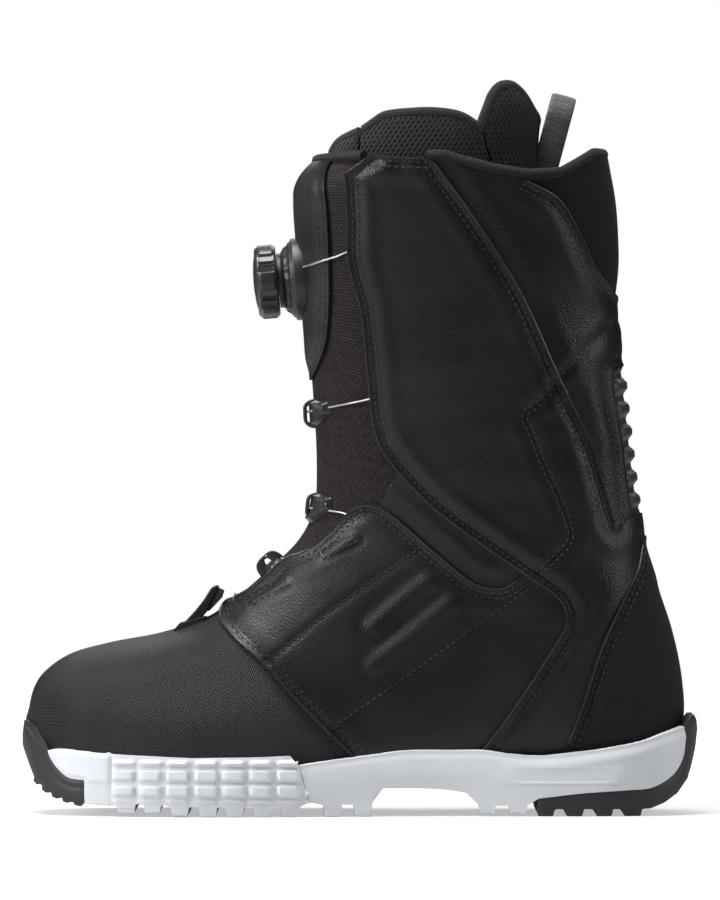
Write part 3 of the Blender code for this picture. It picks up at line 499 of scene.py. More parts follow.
def leather(name, dark, light, grain, depth, roughness):
    """Pebbled leather: cells of about grain mm with fine pores and soft wear."""
    paint = Paint(name, dark, roughness, Specular_IOR_Level=0.30)
    place = paint.space("Object", (1, 1, 1))
    wide = paint.noise(place, 28.0, 4.0)
    pebbles = paint.cells(place, 1 / (grain * MM), 1.0)
    pores = paint.noise(place, 2600.0, 2.0)
    paint.set("Base Color", paint.colours(wide, (0.35, dark), (0.72, light)))
    scuff = paint.math("ADD", paint.between(wide, -0.05, 0.07),
                       paint.between(pores, -0.05, 0.05))
    paint.set("Roughness", paint.math("ADD", scuff, roughness))
    paint.relief(paint.noise(place, 160.0, 1.0), 0.10, 0.35)
    paint.relief(pebbles, depth, 0.9)
    paint.relief(pores, depth * 0.4, 0.5)
    return paint.material


def embossed_leather(name, dark, light, pitch):
    """Leather pressed with staggered round dots."""
    paint = Paint(name, dark, 0.44, Specular_IOR_Level=0.28)
    place = paint.space("Object", (1, 1, 1))
    step = pitch * MM / math.sqrt(2)
    cloth = paint.space("UV", (1 / step, 1 / step, 1), math.pi / 4)
    dots = paint.cells(cloth, 1.0, 0.0)
    wide = paint.noise(place, 30.0, 3.0)
    raised = paint.between(dots, 1.0, 0.0, 0.12, 0.55)
    mixed = paint.math("ADD", paint.math("MULTIPLY", wide, 0.6),
                       paint.math("MULTIPLY", raised, 0.35))
    paint.set("Base Color", paint.colours(mixed, (0.25, dark), (0.75, light)))
    paint.set("Roughness", paint.between(wide, 0.42, 0.54))
    paint.relief(raised, 0.28, 0.9)
    paint.relief(paint.noise(place, 1800.0, 2.0), 0.05, 0.5)
    return paint.material


def ribbed_cloth(name, dark, light, rib, run, turn, depth, sheen):
    """Woven ribs: rows rib mm apart, broken every run mm, staggered like bricks."""
    paint = Paint(name, dark, 0.85, Sheen_Weight=sheen, Specular_IOR_Level=0.25)
    cloth = paint.space("UV", (1 / MM, 1 / MM, 1), turn)
    made = paint.node("TexBrick", {"offset": 0.5}, Vector=cloth, Scale=1.0,
                      Mortar_Size=rib * 0.16, Mortar_Smooth=1.0, Brick_Width=run,
                      Row_Height=rib)
    made.inputs["Color1"].default_value = (*light, 1)
    made.inputs["Color2"].default_value = (*[(d + l) / 2 for d, l in zip(dark, light)], 1)
    made.inputs["Mortar"].default_value = (*dark, 1)
    fuzz = paint.noise(paint.space("Object", (1, 1, 1)), 2200.0, 2.0)
    mix = paint.node("Mix", {"data_type": "RGBA", "blend_type": "MULTIPLY"}, Factor=0.6)
    paint.tree.links.new(made.outputs[0], mix.inputs[6])
    grey = paint.between(fuzz, 0.55, 1.35, 0.3, 0.7)
    paint.tree.links.new(grey, mix.inputs[7])
    paint.set("Base Color", mix.outputs[2])
    paint.relief(paint.math("SUBTRACT", 1.0, made.outputs["Fac"]), depth, 1.0)
    paint.relief(fuzz, 0.08, 0.6)
    return paint.material


def knit_mesh(name, dark, light, pitch, sheen):
    """Spacer mesh: raised chevron yarns round small dark holes."""
    paint = Paint(name, dark, 0.9, Sheen_Weight=sheen, Specular_IOR_Level=0.2)
    cloth = paint.space("UV", (1 / (pitch * MM), 0.62 / (pitch * MM), 1), math.pi / 4)
    hole = paint.cells(cloth, 1.0, 0.08)
    fuzz = paint.noise(paint.space("Object", (1, 1, 1)), 1500.0, 3.0)
    yarn = paint.between(hole, 0.0, 1.0, 0.16, 0.42)
    mixed = paint.math("ADD", paint.math("MULTIPLY", yarn, 0.75),
                       paint.math("MULTIPLY", fuzz, 0.3))
    paint.set("Base Color", paint.colours(mixed, (0.2, dark), (0.85, light)))
    paint.relief(yarn, 0.5, 0.9)
    paint.relief(fuzz, 0.12, 0.6)
    return paint.material


def moulded(name, colour, light, roughness, grain, **sockets):
    """Moulded rubber, foam or plastic: faint mottling and a fine matt grain."""
    paint = Paint(name, colour, roughness, **sockets)
    place = paint.space("Object", (1, 1, 1))
    wide = paint.noise(place, 22.0, 4.0)
    fine = paint.noise(place, 1300.0, 3.0)
    paint.set("Base Color", paint.colours(wide, (0.3, colour), (0.75, light)))
    paint.set("Roughness", paint.between(fine, roughness - 0.07, roughness + 0.09))
    paint.relief(fine, grain, 0.7)
    paint.relief(paint.noise(place, 90.0, 2.0), grain * 2, 0.3)
    return paint.material


def brushed_steel(name):
    paint = Paint(name, (0.55, 0.54, 0.52), 0.38, Metallic=0.85)
    place = paint.space("Object", (1, 1, 1))
    fine = paint.noise(place, 1600.0, 3.0)
    paint.set("Base Color", paint.colours(fine, (0.3, (0.36, 0.35, 0.33)),
                                          (0.7, (0.72, 0.71, 0.68))))
    paint.set("Roughness", paint.between(fine, 0.3, 0.5))
    paint.relief(fine, 0.05, 0.6)
    return paint.material


class Materials:
    """Every finish of the boot."""

    def __init__(self):
        self.leather = leather("black_leather", (0.0070, 0.0070, 0.0080),
                               (0.0115, 0.0115, 0.013),
                               grain=0.95, depth=0.17, roughness=0.36)
        self.saddle = leather("saddle_leather", (0.0085, 0.0085, 0.0098),
                              (0.0125, 0.0125, 0.0145),
                              grain=0.8, depth=0.14, roughness=0.36)
        # Smooth panel leather: its own tone, made lighter than the other leather partly as a
        # painted highlight from the side softbox
        self.panel = leather("panel_leather_painted_highlight", (0.011, 0.011, 0.012),
                             (0.026, 0.026, 0.029),
                             grain=0.7, depth=0.05, roughness=0.36)
        self.toe = embossed_leather("embossed_toe_leather", (0.0070, 0.0070, 0.0081),
                                    (0.018, 0.018, 0.0205), pitch=1.7)
        self.edge = leather("cut_edge_leather", (0.006, 0.006, 0.007),
                            (0.011, 0.011, 0.012), grain=0.6, depth=0.06, roughness=0.55)
        # Turned edges: real raised cords along the seams, coloured lighter than the leather
        # as a painted highlight
        self.welt_painted_highlight = leather("turned_edge_painted_highlight_leather", (0.018, 0.018, 0.020),
                            (0.032, 0.032, 0.035), grain=0.6, depth=0.03, roughness=0.27)
        self.heel = ribbed_cloth("heel_twill_leather", (0.008, 0.008, 0.009),
                                 (0.016, 0.016, 0.018),
                                 rib=1.0, run=5.0, turn=0.9, depth=0.22, sheen=0.0)
        self.tongue = ribbed_cloth("tongue_fabric", (0.0050, 0.0034, 0.0040),
                                   (0.034, 0.024, 0.028),
                                   rib=1.25, run=2.6, turn=0.0, depth=0.7, sheen=0.0)
        self.binding = ribbed_cloth("knit_binding", (0.009, 0.0085, 0.0085),
                                    (0.022, 0.021, 0.021), rib=1.1, run=3.2,
                                    turn=math.pi / 2, depth=0.5, sheen=0.05)
        self.fleece = ribbed_cloth("rim_fleece", (0.006, 0.006, 0.006),
                                   (0.017, 0.016, 0.016), rib=1.3, run=2.2,
                                   turn=math.pi / 2, depth=0.3, sheen=0.15)
        self.webbing = ribbed_cloth("webbing", (0.038, 0.038, 0.040),
                                    (0.15, 0.149, 0.153),
                                    rib=1.0, run=6.0, turn=0.0, depth=0.4, sheen=0.1)
        self.tab_webbing = ribbed_cloth("tab_webbing", (0.006, 0.006, 0.007),
                                        (0.055, 0.054, 0.056), rib=1.15, run=30.0,
                                        turn=math.radians(-28), depth=0.5, sheen=0.1)
        self.mesh = knit_mesh("spacer_mesh", (0.010, 0.0085, 0.008),
                              (0.030, 0.026, 0.025), pitch=1.9, sheen=0.08)
        self.collar_mesh = knit_mesh("collar_mesh", (0.0055, 0.0052, 0.0052),
                                     (0.012, 0.0115, 0.0115), pitch=1.5, sheen=0.02)
        self.lining = knit_mesh("lining_fleece", (0.020, 0.018, 0.017),
                                (0.050, 0.046, 0.044), pitch=1.2, sheen=0.6)
        self.white = moulded("white_foam_sole", (0.70, 0.71, 0.75), (0.77, 0.78, 0.815),
                             roughness=0.46, grain=0.04, Subsurface_Weight=0.05)
        self.rubber = moulded("black_rubber", (0.016, 0.016, 0.017),
                              (0.024, 0.024, 0.026), roughness=0.50, grain=0.06)
        self.plastic = moulded("dark_plastic", (0.024, 0.024, 0.027),
                               (0.034, 0.034, 0.038),
                               roughness=0.34, grain=0.015, Coat_Weight=0.15)
        self.matt_plastic = moulded("matt_plastic", (0.016, 0.016, 0.018),
                                    (0.022, 0.022, 0.024), roughness=0.42, grain=0.03)
        self.board = moulded("fibre_board", (0.30, 0.24, 0.15), (0.38, 0.31, 0.21),
                             roughness=0.9, grain=0.05)
        self.gel = moulded("gel_pad", (0.10, 0.25, 0.36), (0.16, 0.32, 0.44),
                           roughness=0.35, grain=0.05)
        self.thread = leather("sewing_thread", (0.022, 0.022, 0.024),
                              (0.055, 0.055, 0.060), grain=0.35, depth=0.06, roughness=0.40)
        self.steel = brushed_steel("steel_cable")


# ---------------------------------------------------------------- meshes

def mesh_object(name, vertices, faces, finish, uv=None, sharp=40.0):
    """A smooth-shaded mesh from points in mm."""
    mesh = bpy.data.meshes.new(name)
    mesh.from_pydata((np.asarray(vertices, dtype=float) * MM).tolist(), [], faces)
    if uv is not None:
        layer = mesh.uv_layers.new(name="cloth")
        corner = np.zeros(len(mesh.loops), dtype=np.int32)
        mesh.loops.foreach_get("vertex_index", corner)
        layer.data.foreach_set("uv", np.asarray(uv)[corner].astype(np.float32).ravel())
    mesh.shade_smooth()
    mesh.set_sharp_from_angle(angle=math.radians(sharp))
    obj = bpy.data.objects.new(name, mesh)
    bpy.context.scene.collection.objects.link(obj)
    for material in finish if isinstance(finish, (list, tuple)) else [finish]:
        mesh.materials.append(material)
    return obj


def tube_faces(rings, sides):
    """Faces of a closed tube: rings of points, and a cap at each end."""
    faces = [(k * sides + s, k * sides + (s + 1) % sides,
              (k + 1) * sides + (s + 1) % sides, (k + 1) * sides + s)
             for k in range(rings - 1) for s in range(sides)]
    return faces + [tuple(range(sides))[::-1],
                    tuple(range((rings - 1) * sides, rings * sides))]


def turn_faces_out(obj):
    bm = bmesh.new()
    bm.from_mesh(obj.data)
    bmesh.ops.recalc_face_normals(bm, faces=bm.faces)
    bm.to_mesh(obj.data)
    bm.free()


def merged(objects):
    """Points in mm and faces of several pieces as one list each."""
    vertices, faces = [], []
    for obj in objects:
        first = len(vertices)
        vertices += [v.co / MM for v in obj.data.vertices]
        faces += [[first + i for i in face.vertices] for face in obj.data.polygons]
    return vertices, faces


def apply_modifiers(obj):
    bpy.context.view_layer.update()
    evaluated = obj.evaluated_get(bpy.context.evaluated_depsgraph_get())
    mesh = bpy.data.meshes.new_from_object(evaluated)
    old = obj.data
    obj.modifiers.clear()
    obj.data = mesh
    bpy.data.meshes.remove(old)
    return obj


def thicken(obj, thickness, round_edge):
    """Gives a sheet its thickness, inwards, and rounds its cut edge."""
    solid = obj.modifiers.new("thickness", "SOLIDIFY")
    solid.thickness = thickness * MM
    solid.offset = -1
    if round_edge:
        edge = obj.modifiers.new("edge", "BEVEL")
        edge.width = round_edge * MM
        edge.segments = 2
        edge.limit_method = "ANGLE"
        edge.angle_limit = math.radians(50)
    return apply_modifiers(obj)


def coordinates(mesh):
    flat = np.zeros(len(mesh.vertices) * 3)
    mesh.vertices.foreach_get("co", flat)
    return flat.reshape(-1, 3)


def inflate(obj, cap):
    """Cloth simulation with air in the pad, held at its seam, then one smooth surface."""
    cloth = obj.modifiers.new("cloth", "CLOTH")
    settings = cloth.settings
    settings.mass = 0.3
    settings.tension_stiffness = settings.compression_stiffness = 15.0
    settings.bending_stiffness = 0.5
    settings.use_pressure = True
    settings.uniform_pressure_force = AIR_PRESSURE
    settings.effector_weights.gravity = 0.0
    settings.vertex_group_mass = "seam"
    cloth.collision_settings.use_collision = False
    cloth.point_cache.frame_end = CLOTH_FRAMES
    for step in range(1, CLOTH_FRAMES + 1):
        bpy.context.scene.frame_set(step)
    evaluated = obj.evaluated_get(bpy.context.evaluated_depsgraph_get())
    start, end = coordinates(obj.data), coordinates(evaluated.data)
    move = end - start
    far = np.maximum(np.linalg.norm(move, axis=1, keepdims=True), 1e-9)
    end = start + move * np.minimum(1.0, cap * MM / far)
    obj.modifiers.clear()
    obj.data.vertices.foreach_set("co", end.ravel())
    bpy.context.scene.frame_set(1)
    obj.vertex_groups.clear()
    obj.modifiers.new("smooth", "SUBSURF").levels = 2
    return apply_modifiers(obj)


class PatchGrid:
    """The grid of rows and angles that a surface's patches are cut from."""

    def __init__(self, skin, rows, around):
        self.skin = skin
        self.row = np.linspace(0, 1, rows)[:, None].repeat(around + 1, axis=1)
        self.angle = np.linspace(-math.pi, math.pi, around + 1)[None].repeat(rows, axis=0)
        self.half = around // 2
        flat = np.zeros_like(self.row)
        self.points, self.normals = skin.place(self.row, self.angle, flat)

    def patch(self, name, outline, side, height, finish, thickness, round_edge=0.5,
              along_front=False, sewn=0.0):
        """The part of the surface inside an outline, raised by height(phi, points)."""
        columns = {OUTER: slice(self.half, None), INNER: slice(0, self.half + 1),
                   BOTH: slice(None)}[side]
        row, angle = self.row[:, columns].copy(), self.angle[:, columns].copy()
        base = self.points[:, columns]
        phi = signed_distance(outline, base[..., 0], base[..., 2])
        phi = snap_edge(self.skin, outline, phi, row, angle)
        kept = ~np.isnan(phi)
        points, _ = self.skin.place(row, angle, np.zeros_like(row))
        raised, _ = self.skin.place(row, angle, height(np.nan_to_num(phi), points))
        cloth = self.skin.cloth_position(row, angle, along_front)
        index = np.full(row.shape, -1)
        index[kept] = np.arange(kept.sum())
        corner = (index[:-1, :-1], index[:-1, 1:], index[1:, 1:], index[1:, :-1])
        inside = phi > 1e-6
        core = inside[:-1, :-1] | inside[:-1, 1:] | inside[1:, 1:] | inside[1:, :-1]
        whole = core & np.all([c >= 0 for c in corner], axis=0)
        faces = np.stack([c[whole] for c in corner], axis=1)
        obj = mesh_object(name, raised[kept], faces.tolist(), finish, cloth[kept])
        if sewn:
            seam = obj.vertex_groups.new(name="seam")
            seam.add(np.flatnonzero(phi[kept] < sewn).tolist(), 1.0, "REPLACE")
        close_tip = side == BOTH and bool(whole[0].all())
        weld(obj, close_tip)
        return thicken(obj, thickness, round_edge)


def snap_edge(skin, outline, phi, row, angle):
    """Moves grid points just outside an outline onto it. Points left out become NaN."""
    inside = phi > 0
    out_r, out_a = np.zeros_like(row), np.zeros_like(angle)
    count = np.zeros_like(row)
    high, wide = row.shape
    for di, dj in ((0, 1), (1, 0), (0, -1), (-1, 0), (1, 1), (1, -1), (-1, 1), (-1, -1)):
        i = slice(max(0, -di), high - max(0, di))
        j = slice(max(0, -dj), wide - max(0, dj))
        ni = slice(max(0, di), high - max(0, -di))
        nj = slice(max(0, dj), wide - max(0, -dj))
        pair = ~inside[i, j] & inside[ni, nj]
        t = phi[i, j] / np.minimum(phi[i, j] - phi[ni, nj], -1e-9)
        weight = np.where(pair, 1.0 if di * dj == 0 else 0.35, 0.0)
        out_r[i, j] += weight * (row[i, j] + t * (row[ni, nj] - row[i, j]))
        out_a[i, j] += weight * (angle[i, j] + t * (angle[ni, nj] - angle[i, j]))
        count[i, j] += weight
    edge = count > 0
    new_r, new_a = out_r[edge] / count[edge], out_a[edge] / count[edge]
    old_r, old_a, old_phi = row[edge], angle[edge], phi[edge]
    for _ in range(2):
        here = skin.read(skin.points, new_r, new_a)
        miss = signed_distance(outline, here[:, 0], here[:, 2])
        gain = miss / np.where(np.abs(miss - old_phi) < 1e-6, 1e-6, miss - old_phi)
        gain = np.clip(gain, -0.5, 0.5)
        new_r, new_a = new_r - gain * (new_r - old_r), new_a - gain * (new_a - old_a)
    row[edge], angle[edge] = new_r, new_a
    result = np.where(inside, phi, np.nan)
    result[edge] = 0.0
    return result


def weld(obj, close_tip):
    """Joins the points that meet, and closes the ring at the toe."""
    bm = bmesh.new()
    bm.from_mesh(obj.data)
    if close_tip:
        bm.verts.ensure_lookup_table()
        low = min(v.co.x for v in bm.verts)
        ring = [e for e in bm.edges if e.is_boundary
                and max(e.verts[0].co.x, e.verts[1].co.x) < low + 2 * MM]
        bmesh.ops.holes_fill(bm, edges=ring)
    bmesh.ops.remove_doubles(bm, verts=bm.verts, dist=0.00004)
    bmesh.ops.dissolve_degenerate(bm, edges=bm.edges, dist=0.00002)
    bm.to_mesh(obj.data)
    bm.free()


def surface_tree(objects):
    """The faces of several pieces, to lay stitches on. In mm."""
    return BVHTree.FromPolygons(*merged(objects))


def laid_on(tree, points, normals, lift):
    """Points moved along their normals onto the leather, and lift above it; and which
    of them met it."""
    result, met = points.copy(), np.zeros(len(points), dtype=bool)
    for n, (point, normal) in enumerate(zip(points, normals)):
        way = Vector(normal)
        hit = tree.ray_cast(Vector(point) + way * 5.0, -way, 9.0)[0]
        if hit is not None:
            result[n], met[n] = hit + way * lift, True
    return result, met


def stitches(name, skin, rows, body, finish, under):
    """Sewn thread on the pieces under it. rows: (line in the side view, side)."""
    places, ways, ups = [], [], []
    tree = surface_tree(under)
    for line, side in rows:
        points, normals, good = on_skin(skin, even(line, STITCH_PITCH), side)
        if good.sum() < 3:
            continue
        normals = normals[good]
        points, met = laid_on(tree, points[good], normals, STITCH_LIFT)
        points, normals = points[met], normals[met]
        places.append(points)
        ways.append(unit(np.gradient(points, axis=0)))
        ups.append(normals)
    place, way, up = (np.concatenate(group) for group in (places, ways, ups))
    across = np.cross(way, up)
    ring_at = ((-0.5, 0.35), (-0.3, 1.0), (0.3, 1.0), (0.5, 0.35))
    sides = 6
    vertices = []
    for share, swell in ring_at:
        for s in range(sides):
            turn = 2 * math.pi * s / sides
            drop = -1.6 * STITCH_RADIUS * (abs(share) > 0.4)
            vertices.append(place + way * share * STITCH_LENGTH + up * drop
                            + (across * math.cos(turn) + up * math.sin(turn))
                            * STITCH_RADIUS * swell)
    vertices = np.stack(vertices, axis=1)
    per = len(ring_at) * sides
    pattern = tube_faces(len(ring_at), sides)
    faces = [tuple(v + n * per for v in face)
             for n in range(len(place)) for face in pattern]
    obj = mesh_object(name, vertices.reshape(-1, 3), faces, finish)
    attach(obj, body)


def welts(name, skin, edges, under, finish):
    """Thin turned edges along the seams, each a line in the side view on one side."""
    tree = surface_tree(under)
    cords = []
    for line, side in edges:
        points, normals, good = on_skin(skin, even(line, WELT_STEP), side)
        if good.sum() < 4:
            continue
        points, _ = laid_on(tree, points[good], normals[good], 0.0)
        points = even_out(points)
        cords.append(cord_mesh(name, points, WELT_RADIUS, finish, 8, up=normals[good]))
    vertices, faces = merged(cords)
    for cord in cords:
        bpy.data.objects.remove(cord)
    obj = mesh_object(name, vertices, faces, finish)
    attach(obj, "boot")


def even_out(points, rounds=3):
    """Takes small steps out of a path."""
    points = points.copy()
    for _ in range(rounds):
        points[1:-1] = (points[:-2] + points[1:-1] * 2 + points[2:]) / 4
    return points


def shifted(line, distance):
    """A side-view line moved to its left by distance."""
    line = np.asarray(line, dtype=float)
    way = unit(np.gradient(line, axis=0))
    return line + np.stack([-way[:, 1], way[:, 0]], axis=1) * distance


def cord_mesh(name, points, radius, finish, sides, squash=1.0, up=None, twist=0.0,
              strands=0):
    """A tube through points in mm. squash flattens it along up; strands twist round it."""
    points = np.asarray(points, dtype=float)
    way = unit(np.gradient(points, axis=0))
    guide = np.asarray(up if up is not None else (0, 0, 1.0), dtype=float)
    guide = np.broadcast_to(guide, points.shape)
    across = np.cross(way, guide)
    weak = np.linalg.norm(across, axis=1) < 0.2
    across[weak] = np.cross(way[weak], np.array([0, 1.0, 0]))
    for k in range(1, len(across)):
        if np.dot(across[k], across[k - 1]) < 0:
            across[k] *= -1
    across = unit(across)
    raise_ = np.cross(across, way)
    along = path_length(points)
    turn = np.linspace(0, 2 * math.pi, sides, endpoint=False)[None, :, None]
    size = radius * np.ones_like(turn)
    if strands:
        size = radius * (0.9 + 0.1 * np.cos(strands * (turn - along[:, None, None] * twist)))
    rings = (points[:, None] + across[:, None] * np.cos(turn) * size
             + raise_[:, None] * np.sin(turn) * size * squash)
    count = len(points)
    uv = np.stack([np.broadcast_to(np.arange(sides) / sides * 2 * math.pi * radius,
                                   (count, sides)),
                   np.broadcast_to(along[:, None], (count, sides))], axis=-1)
    return mesh_object(name, rings.reshape(-1, 3), tube_faces(count, sides), finish,
                       uv.reshape(-1, 2) * MM)


# ---------------------------------------------------------------- seams as smooth lines

COLLAR = smooth(COLLAR_LINE)
TOE = smooth(TOE_SEAM)
SADDLE_FRONT = smooth(SADDLE_TOP[:SADDLE_CORNER + 1])
SADDLE_BACK = smooth(SADDLE_TOP[SADDLE_CORNER:])
SADDLE = np.concatenate([SADDLE_FRONT, SADDLE_BACK[1:]])
FRONT = np.concatenate([[(4.0, 301.5)], smooth(QUARTER_FRONT[1:])])
LOW = smooth(QUARTER_LOW)
LOW_FRONT = smooth(QUARTER_LOW[:UNDERLAY_END + 1])
LOW_BACK = smooth(QUARTER_LOW[UNDERLAY_END:])
DIAGONAL = smooth(DIAGONAL_SEAM)
MESH_EDGE = smooth(COLLAR_MESH_EDGE)
FLEX = smooth(FLEX_EDGE)
HEEL = smooth(HEEL_SEAM)
CONTOUR = smooth(ANKLE_CONTOUR)
SEAM_A = smooth([(-42.5, 70.3), (-12, 95), (27.6, 122.3)])
SEAM_B = smooth([(-14.7, 39.5), (5.3, 52.7), (53.6, 86.8), (79, 105)])
SEAM_C = smooth([(119.3, 227), (106, 216), (93.2, 202.5)])
RIDGES = [smooth([(30.5, 106.4), (19, 97.5), (6.6, 86.6)]),
          smooth([(41.4, 96.5), (24, 82), (6.6, 68.7)])]
SLOTS = [np.array([(-16.6, 119.3), (-2.2, 126.7)]), np.array([(-48, 99.0), (-34, 106.4)])]
PANEL_EDGE = smooth([(-23.6, 199.4), (-17.5, 212), (-15, 225), (-14.6, 250), (-16, 280),
                     (-19.5, 301.5)])


def joined(*lines):
    """Side-view lines one after another, as one line."""
    return np.concatenate([np.asarray(line, dtype=float) for line in lines])


# ---------------------------------------------------------------- upper

def valley(distance):
    """Leather pulled down by a double row of stitches, puffing up inside it."""
    return (-0.55 * bump(distance - 3.6, 2.0) + 0.75 * bump(distance - 9.5, 3.6)
            + 0.25 * bump(distance - 0.8, 1.0))


class Upper:
    """The shell's panels and their stitches, which ride on the boot."""

    def __init__(self, skin, grid):
        self.skin, self.grid = skin, grid
        self.made = []     # the panels so far, which stitches are laid on

    def add(self, name, outline, side, height, finish, slot, node, thickness=1.5):
        obj = self.grid.patch(name, outline, side, height, finish, thickness)
        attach(obj, "boot")
        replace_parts(obj, node)
        self.made.append(obj)

    def toe_cap(self):
        """Smooth embossed cap, tucked under the saddle and pinched at the sole."""
        def height(phi, p):
            tuck = line_distance(TOE, p)
            return (-0.75 * bump(tuck, 7.0) + 0.12 * ripple(p, 46.0, 3)
                    - 0.4 * bump(p[..., 2] - 26.0, 6.0))
        outline = joined(shifted(TOE, 3.0), [(-175, 12), (-175, 114), (-60, 114)])
        self.add("toe_cap_leather", outline, BOTH, height, PAINTS.toe,
                 "toe_leather", "toe_cap", 2.0)

    def saddle(self, label, side):
        """Side of the vamp: sewn seams, two raised ribs and two slots."""
        def height(phi, p):
            z = p[..., 2]
            toe = line_distance(TOE, p)
            top = line_distance(SADDLE, p)
            low = line_distance(LOW_BACK, p)
            lift = 0.15 + 0.25 * valley(toe) + 0.7 * bump(toe, 1.6) + valley(top) * 0.6
            lift -= 0.5 * bump(low, 5.0)
            for seam in (SEAM_A, SEAM_B):
                lift += -0.4 * bump(line_distance(seam, p), 1.7)
            for ridge in RIDGES:
                away = line_distance(ridge, p)
                lift += 1.15 * bump(away, 3.6) - 0.4 * bump(away - 6.8, 2.6)
            for slot in SLOTS:
                away = line_distance(slot, p)
                lift += 0.35 * bump(away, 2.4) - 0.3 * bump(away - 3.6, 1.2)
            fold = ripple(p * (0.7, 1, 1.3), 26.0, 11) * ramp(z, 50, 100)
            return lift + 0.20 * fold + 0.12 * ripple(p, 60.0, 5)
        outline = joined(TOE[2:], LOW_BACK[::-1] + (2.5, 1.0), SADDLE[::-1])
        name = "vamp_saddle_" + label
        self.add(name + "_leather", outline, side, height, PAINTS.saddle,
                 "leather", name)

    def underlay(self, label, side):
        """Strip between the saddle and the quarter, lower than both."""
        def height(phi, p):
            back = line_distance(SADDLE_BACK, p)
            return -0.75 + 0.45 * bump(back - 9.0, 3.0) - 0.5 * bump(back, 4.0)
        outline = joined(shifted(SADDLE_BACK, -2.5),
                         shifted(LOW_FRONT, 2.5)[::-1])
        name = "ankle_underlay_" + label
        self.add(name + "_leather", outline, side, height, PAINTS.leather,
                 "leather", name)

    def quarter(self, label, side):
        """Large side panel over the ankle, creased above the saddle."""
        def height(phi, p):
            x, z = p[..., 0], p[..., 2]
            front = line_distance(joined(FRONT, LOW), p)
            diagonal = line_distance(DIAGONAL, p)
            top = line_distance(COLLAR, p)
            heel = line_distance(HEEL, p)
            contour = line_distance(CONTOUR, p)
            lift = 0.55 + 0.45 * bump(front, 3.0) + valley(front) * 1.15
            lift += 0.35 * bump(diagonal, 1.5) + valley(diagonal) * 0.8
            lift += valley(top) * 0.9 - 0.55 * bump(heel, 4.0)
            lift += -0.5 * bump(contour, 1.8) + 0.5 * bump(contour - 6.0, 3.0)
            crease = ripple(p * (0.5, 0.8, 1.5), 30.0, 21) * bump(z - 165, 45.0)
            body = 0.9 * bump(x - 45, 30) * bump(z - 240, 45)
            return lift + 0.35 * crease + 0.18 * ripple(p, 60.0, 8) + body * 0.4
        outline = joined(FRONT, LOW[1:], HEEL[::-1] + (1.5, 0), [(150, 140), (127, 138)],
                         DIAGONAL[::-1])
        name = "quarter_" + label
        self.add(name + "_leather", outline, side, height, PAINTS.leather,
                 "leather", name)

    def rear_quarter(self, label, side):
        """Panel behind the diagonal seam, up to the collar mesh."""
        def height(phi, p):
            z = p[..., 2]
            diagonal = line_distance(DIAGONAL, p)
            mesh_edge = line_distance(MESH_EDGE, p)
            flex = line_distance(FLEX, p)
            seam = line_distance(SEAM_C, p)
            contour = line_distance(CONTOUR, p)
            lift = -0.55 * bump(diagonal, 5.0) + 0.4 * bump(diagonal - 9.0, 4.0)
            lift += 0.3 * bump(mesh_edge, 1.4) + valley(mesh_edge) * 0.6
            lift += 0.3 * bump(flex, 1.4) + valley(flex) * 0.6
            lift += -0.4 * bump(seam, 1.8) + 0.3 * bump(seam - 5.0, 2.5)
            lift += -0.4 * bump(contour, 1.8)
            wave = ripple(p * (1.0, 1.0, 0.8), 24.0, 31) * bump(z - 285, 14.0)
            crease = ripple(p * (0.5, 0.8, 1.5), 26.0, 22) * bump(z - 175, 30.0)
            return lift + 0.35 * wave + 0.3 * crease + 0.15 * ripple(p, 55.0, 9)
        back = FLEX[FLEX[:, 1] < 207][::-1]
        outline = joined(shifted(DIAGONAL, -3.0), [(127, 136)], back,
                         [(140, 207), (140, 226)], MESH_EDGE[::-1],
                         [(62.4, 293.4), (47.5, 297.0), (38.6, 299.8)])
        name = "rear_quarter_" + label
        self.add(name + "_leather", outline, side, height, PAINTS.leather,
                 "leather", name)

    def collar_mesh(self):
        """Padded mesh over the calf."""
        def height(phi, p):
            edge = line_distance(MESH_EDGE, p)
            return -0.8 * bump(edge, 4.0) + 0.6 * ramp(edge, 3, 14) - 0.2
        outline = joined(shifted(MESH_EDGE, -2.5), [(134, 224), (134, 303)],
                         [(107, 302.4), (100.2, 297.8), (92.2, 293.2), (78, 291.8)])
        self.add("rear_collar_mesh_panel", outline, BOTH, height,
                 PAINTS.collar_mesh, "spacer_mesh", "rear_collar_mesh", 2.0)

    def flex_insert(self):
        """Ribbed rubber at the back of the ankle, which lets it bend."""
        def height(phi, p):
            z, x = p[..., 2], p[..., 0]
            pitch = 10.8
            rib = np.clip(np.cos((z - 197.0 - (x - 122) * 0.25) / pitch * 2 * math.pi)
                          * 1.6, -1, 1)
            edge = ramp(phi, 1.0, 4.0)
            return -0.55 + edge * (0.35 + 1.15 * rib * ramp(z, 138, 144))
        outline = joined(shifted(FLEX, -1.8), [(150, 205)])
        self.add("flex_insert_ribs", outline, BOTH, height, PAINTS.rubber,
                 "rubber", "flex_insert", 2.0)

    def heel_counter(self):
        """Stiff cup round the heel."""
        def height(phi, p):
            z = p[..., 2]
            seam = line_distance(HEEL, p)
            sole = -0.35 * bump(z - 30.0, 6.0)
            return (0.25 + 0.45 * bump(seam, 1.8) + valley(seam) * 0.7 + sole
                    + 0.10 * ripple(p, 40.0, 12))
        outline = joined(HEEL, [(165, 15), (165, 128)])
        self.add("heel_counter_leather", outline, BOTH, height, PAINTS.heel,
                 "leather", "heel_counter", 2.0)

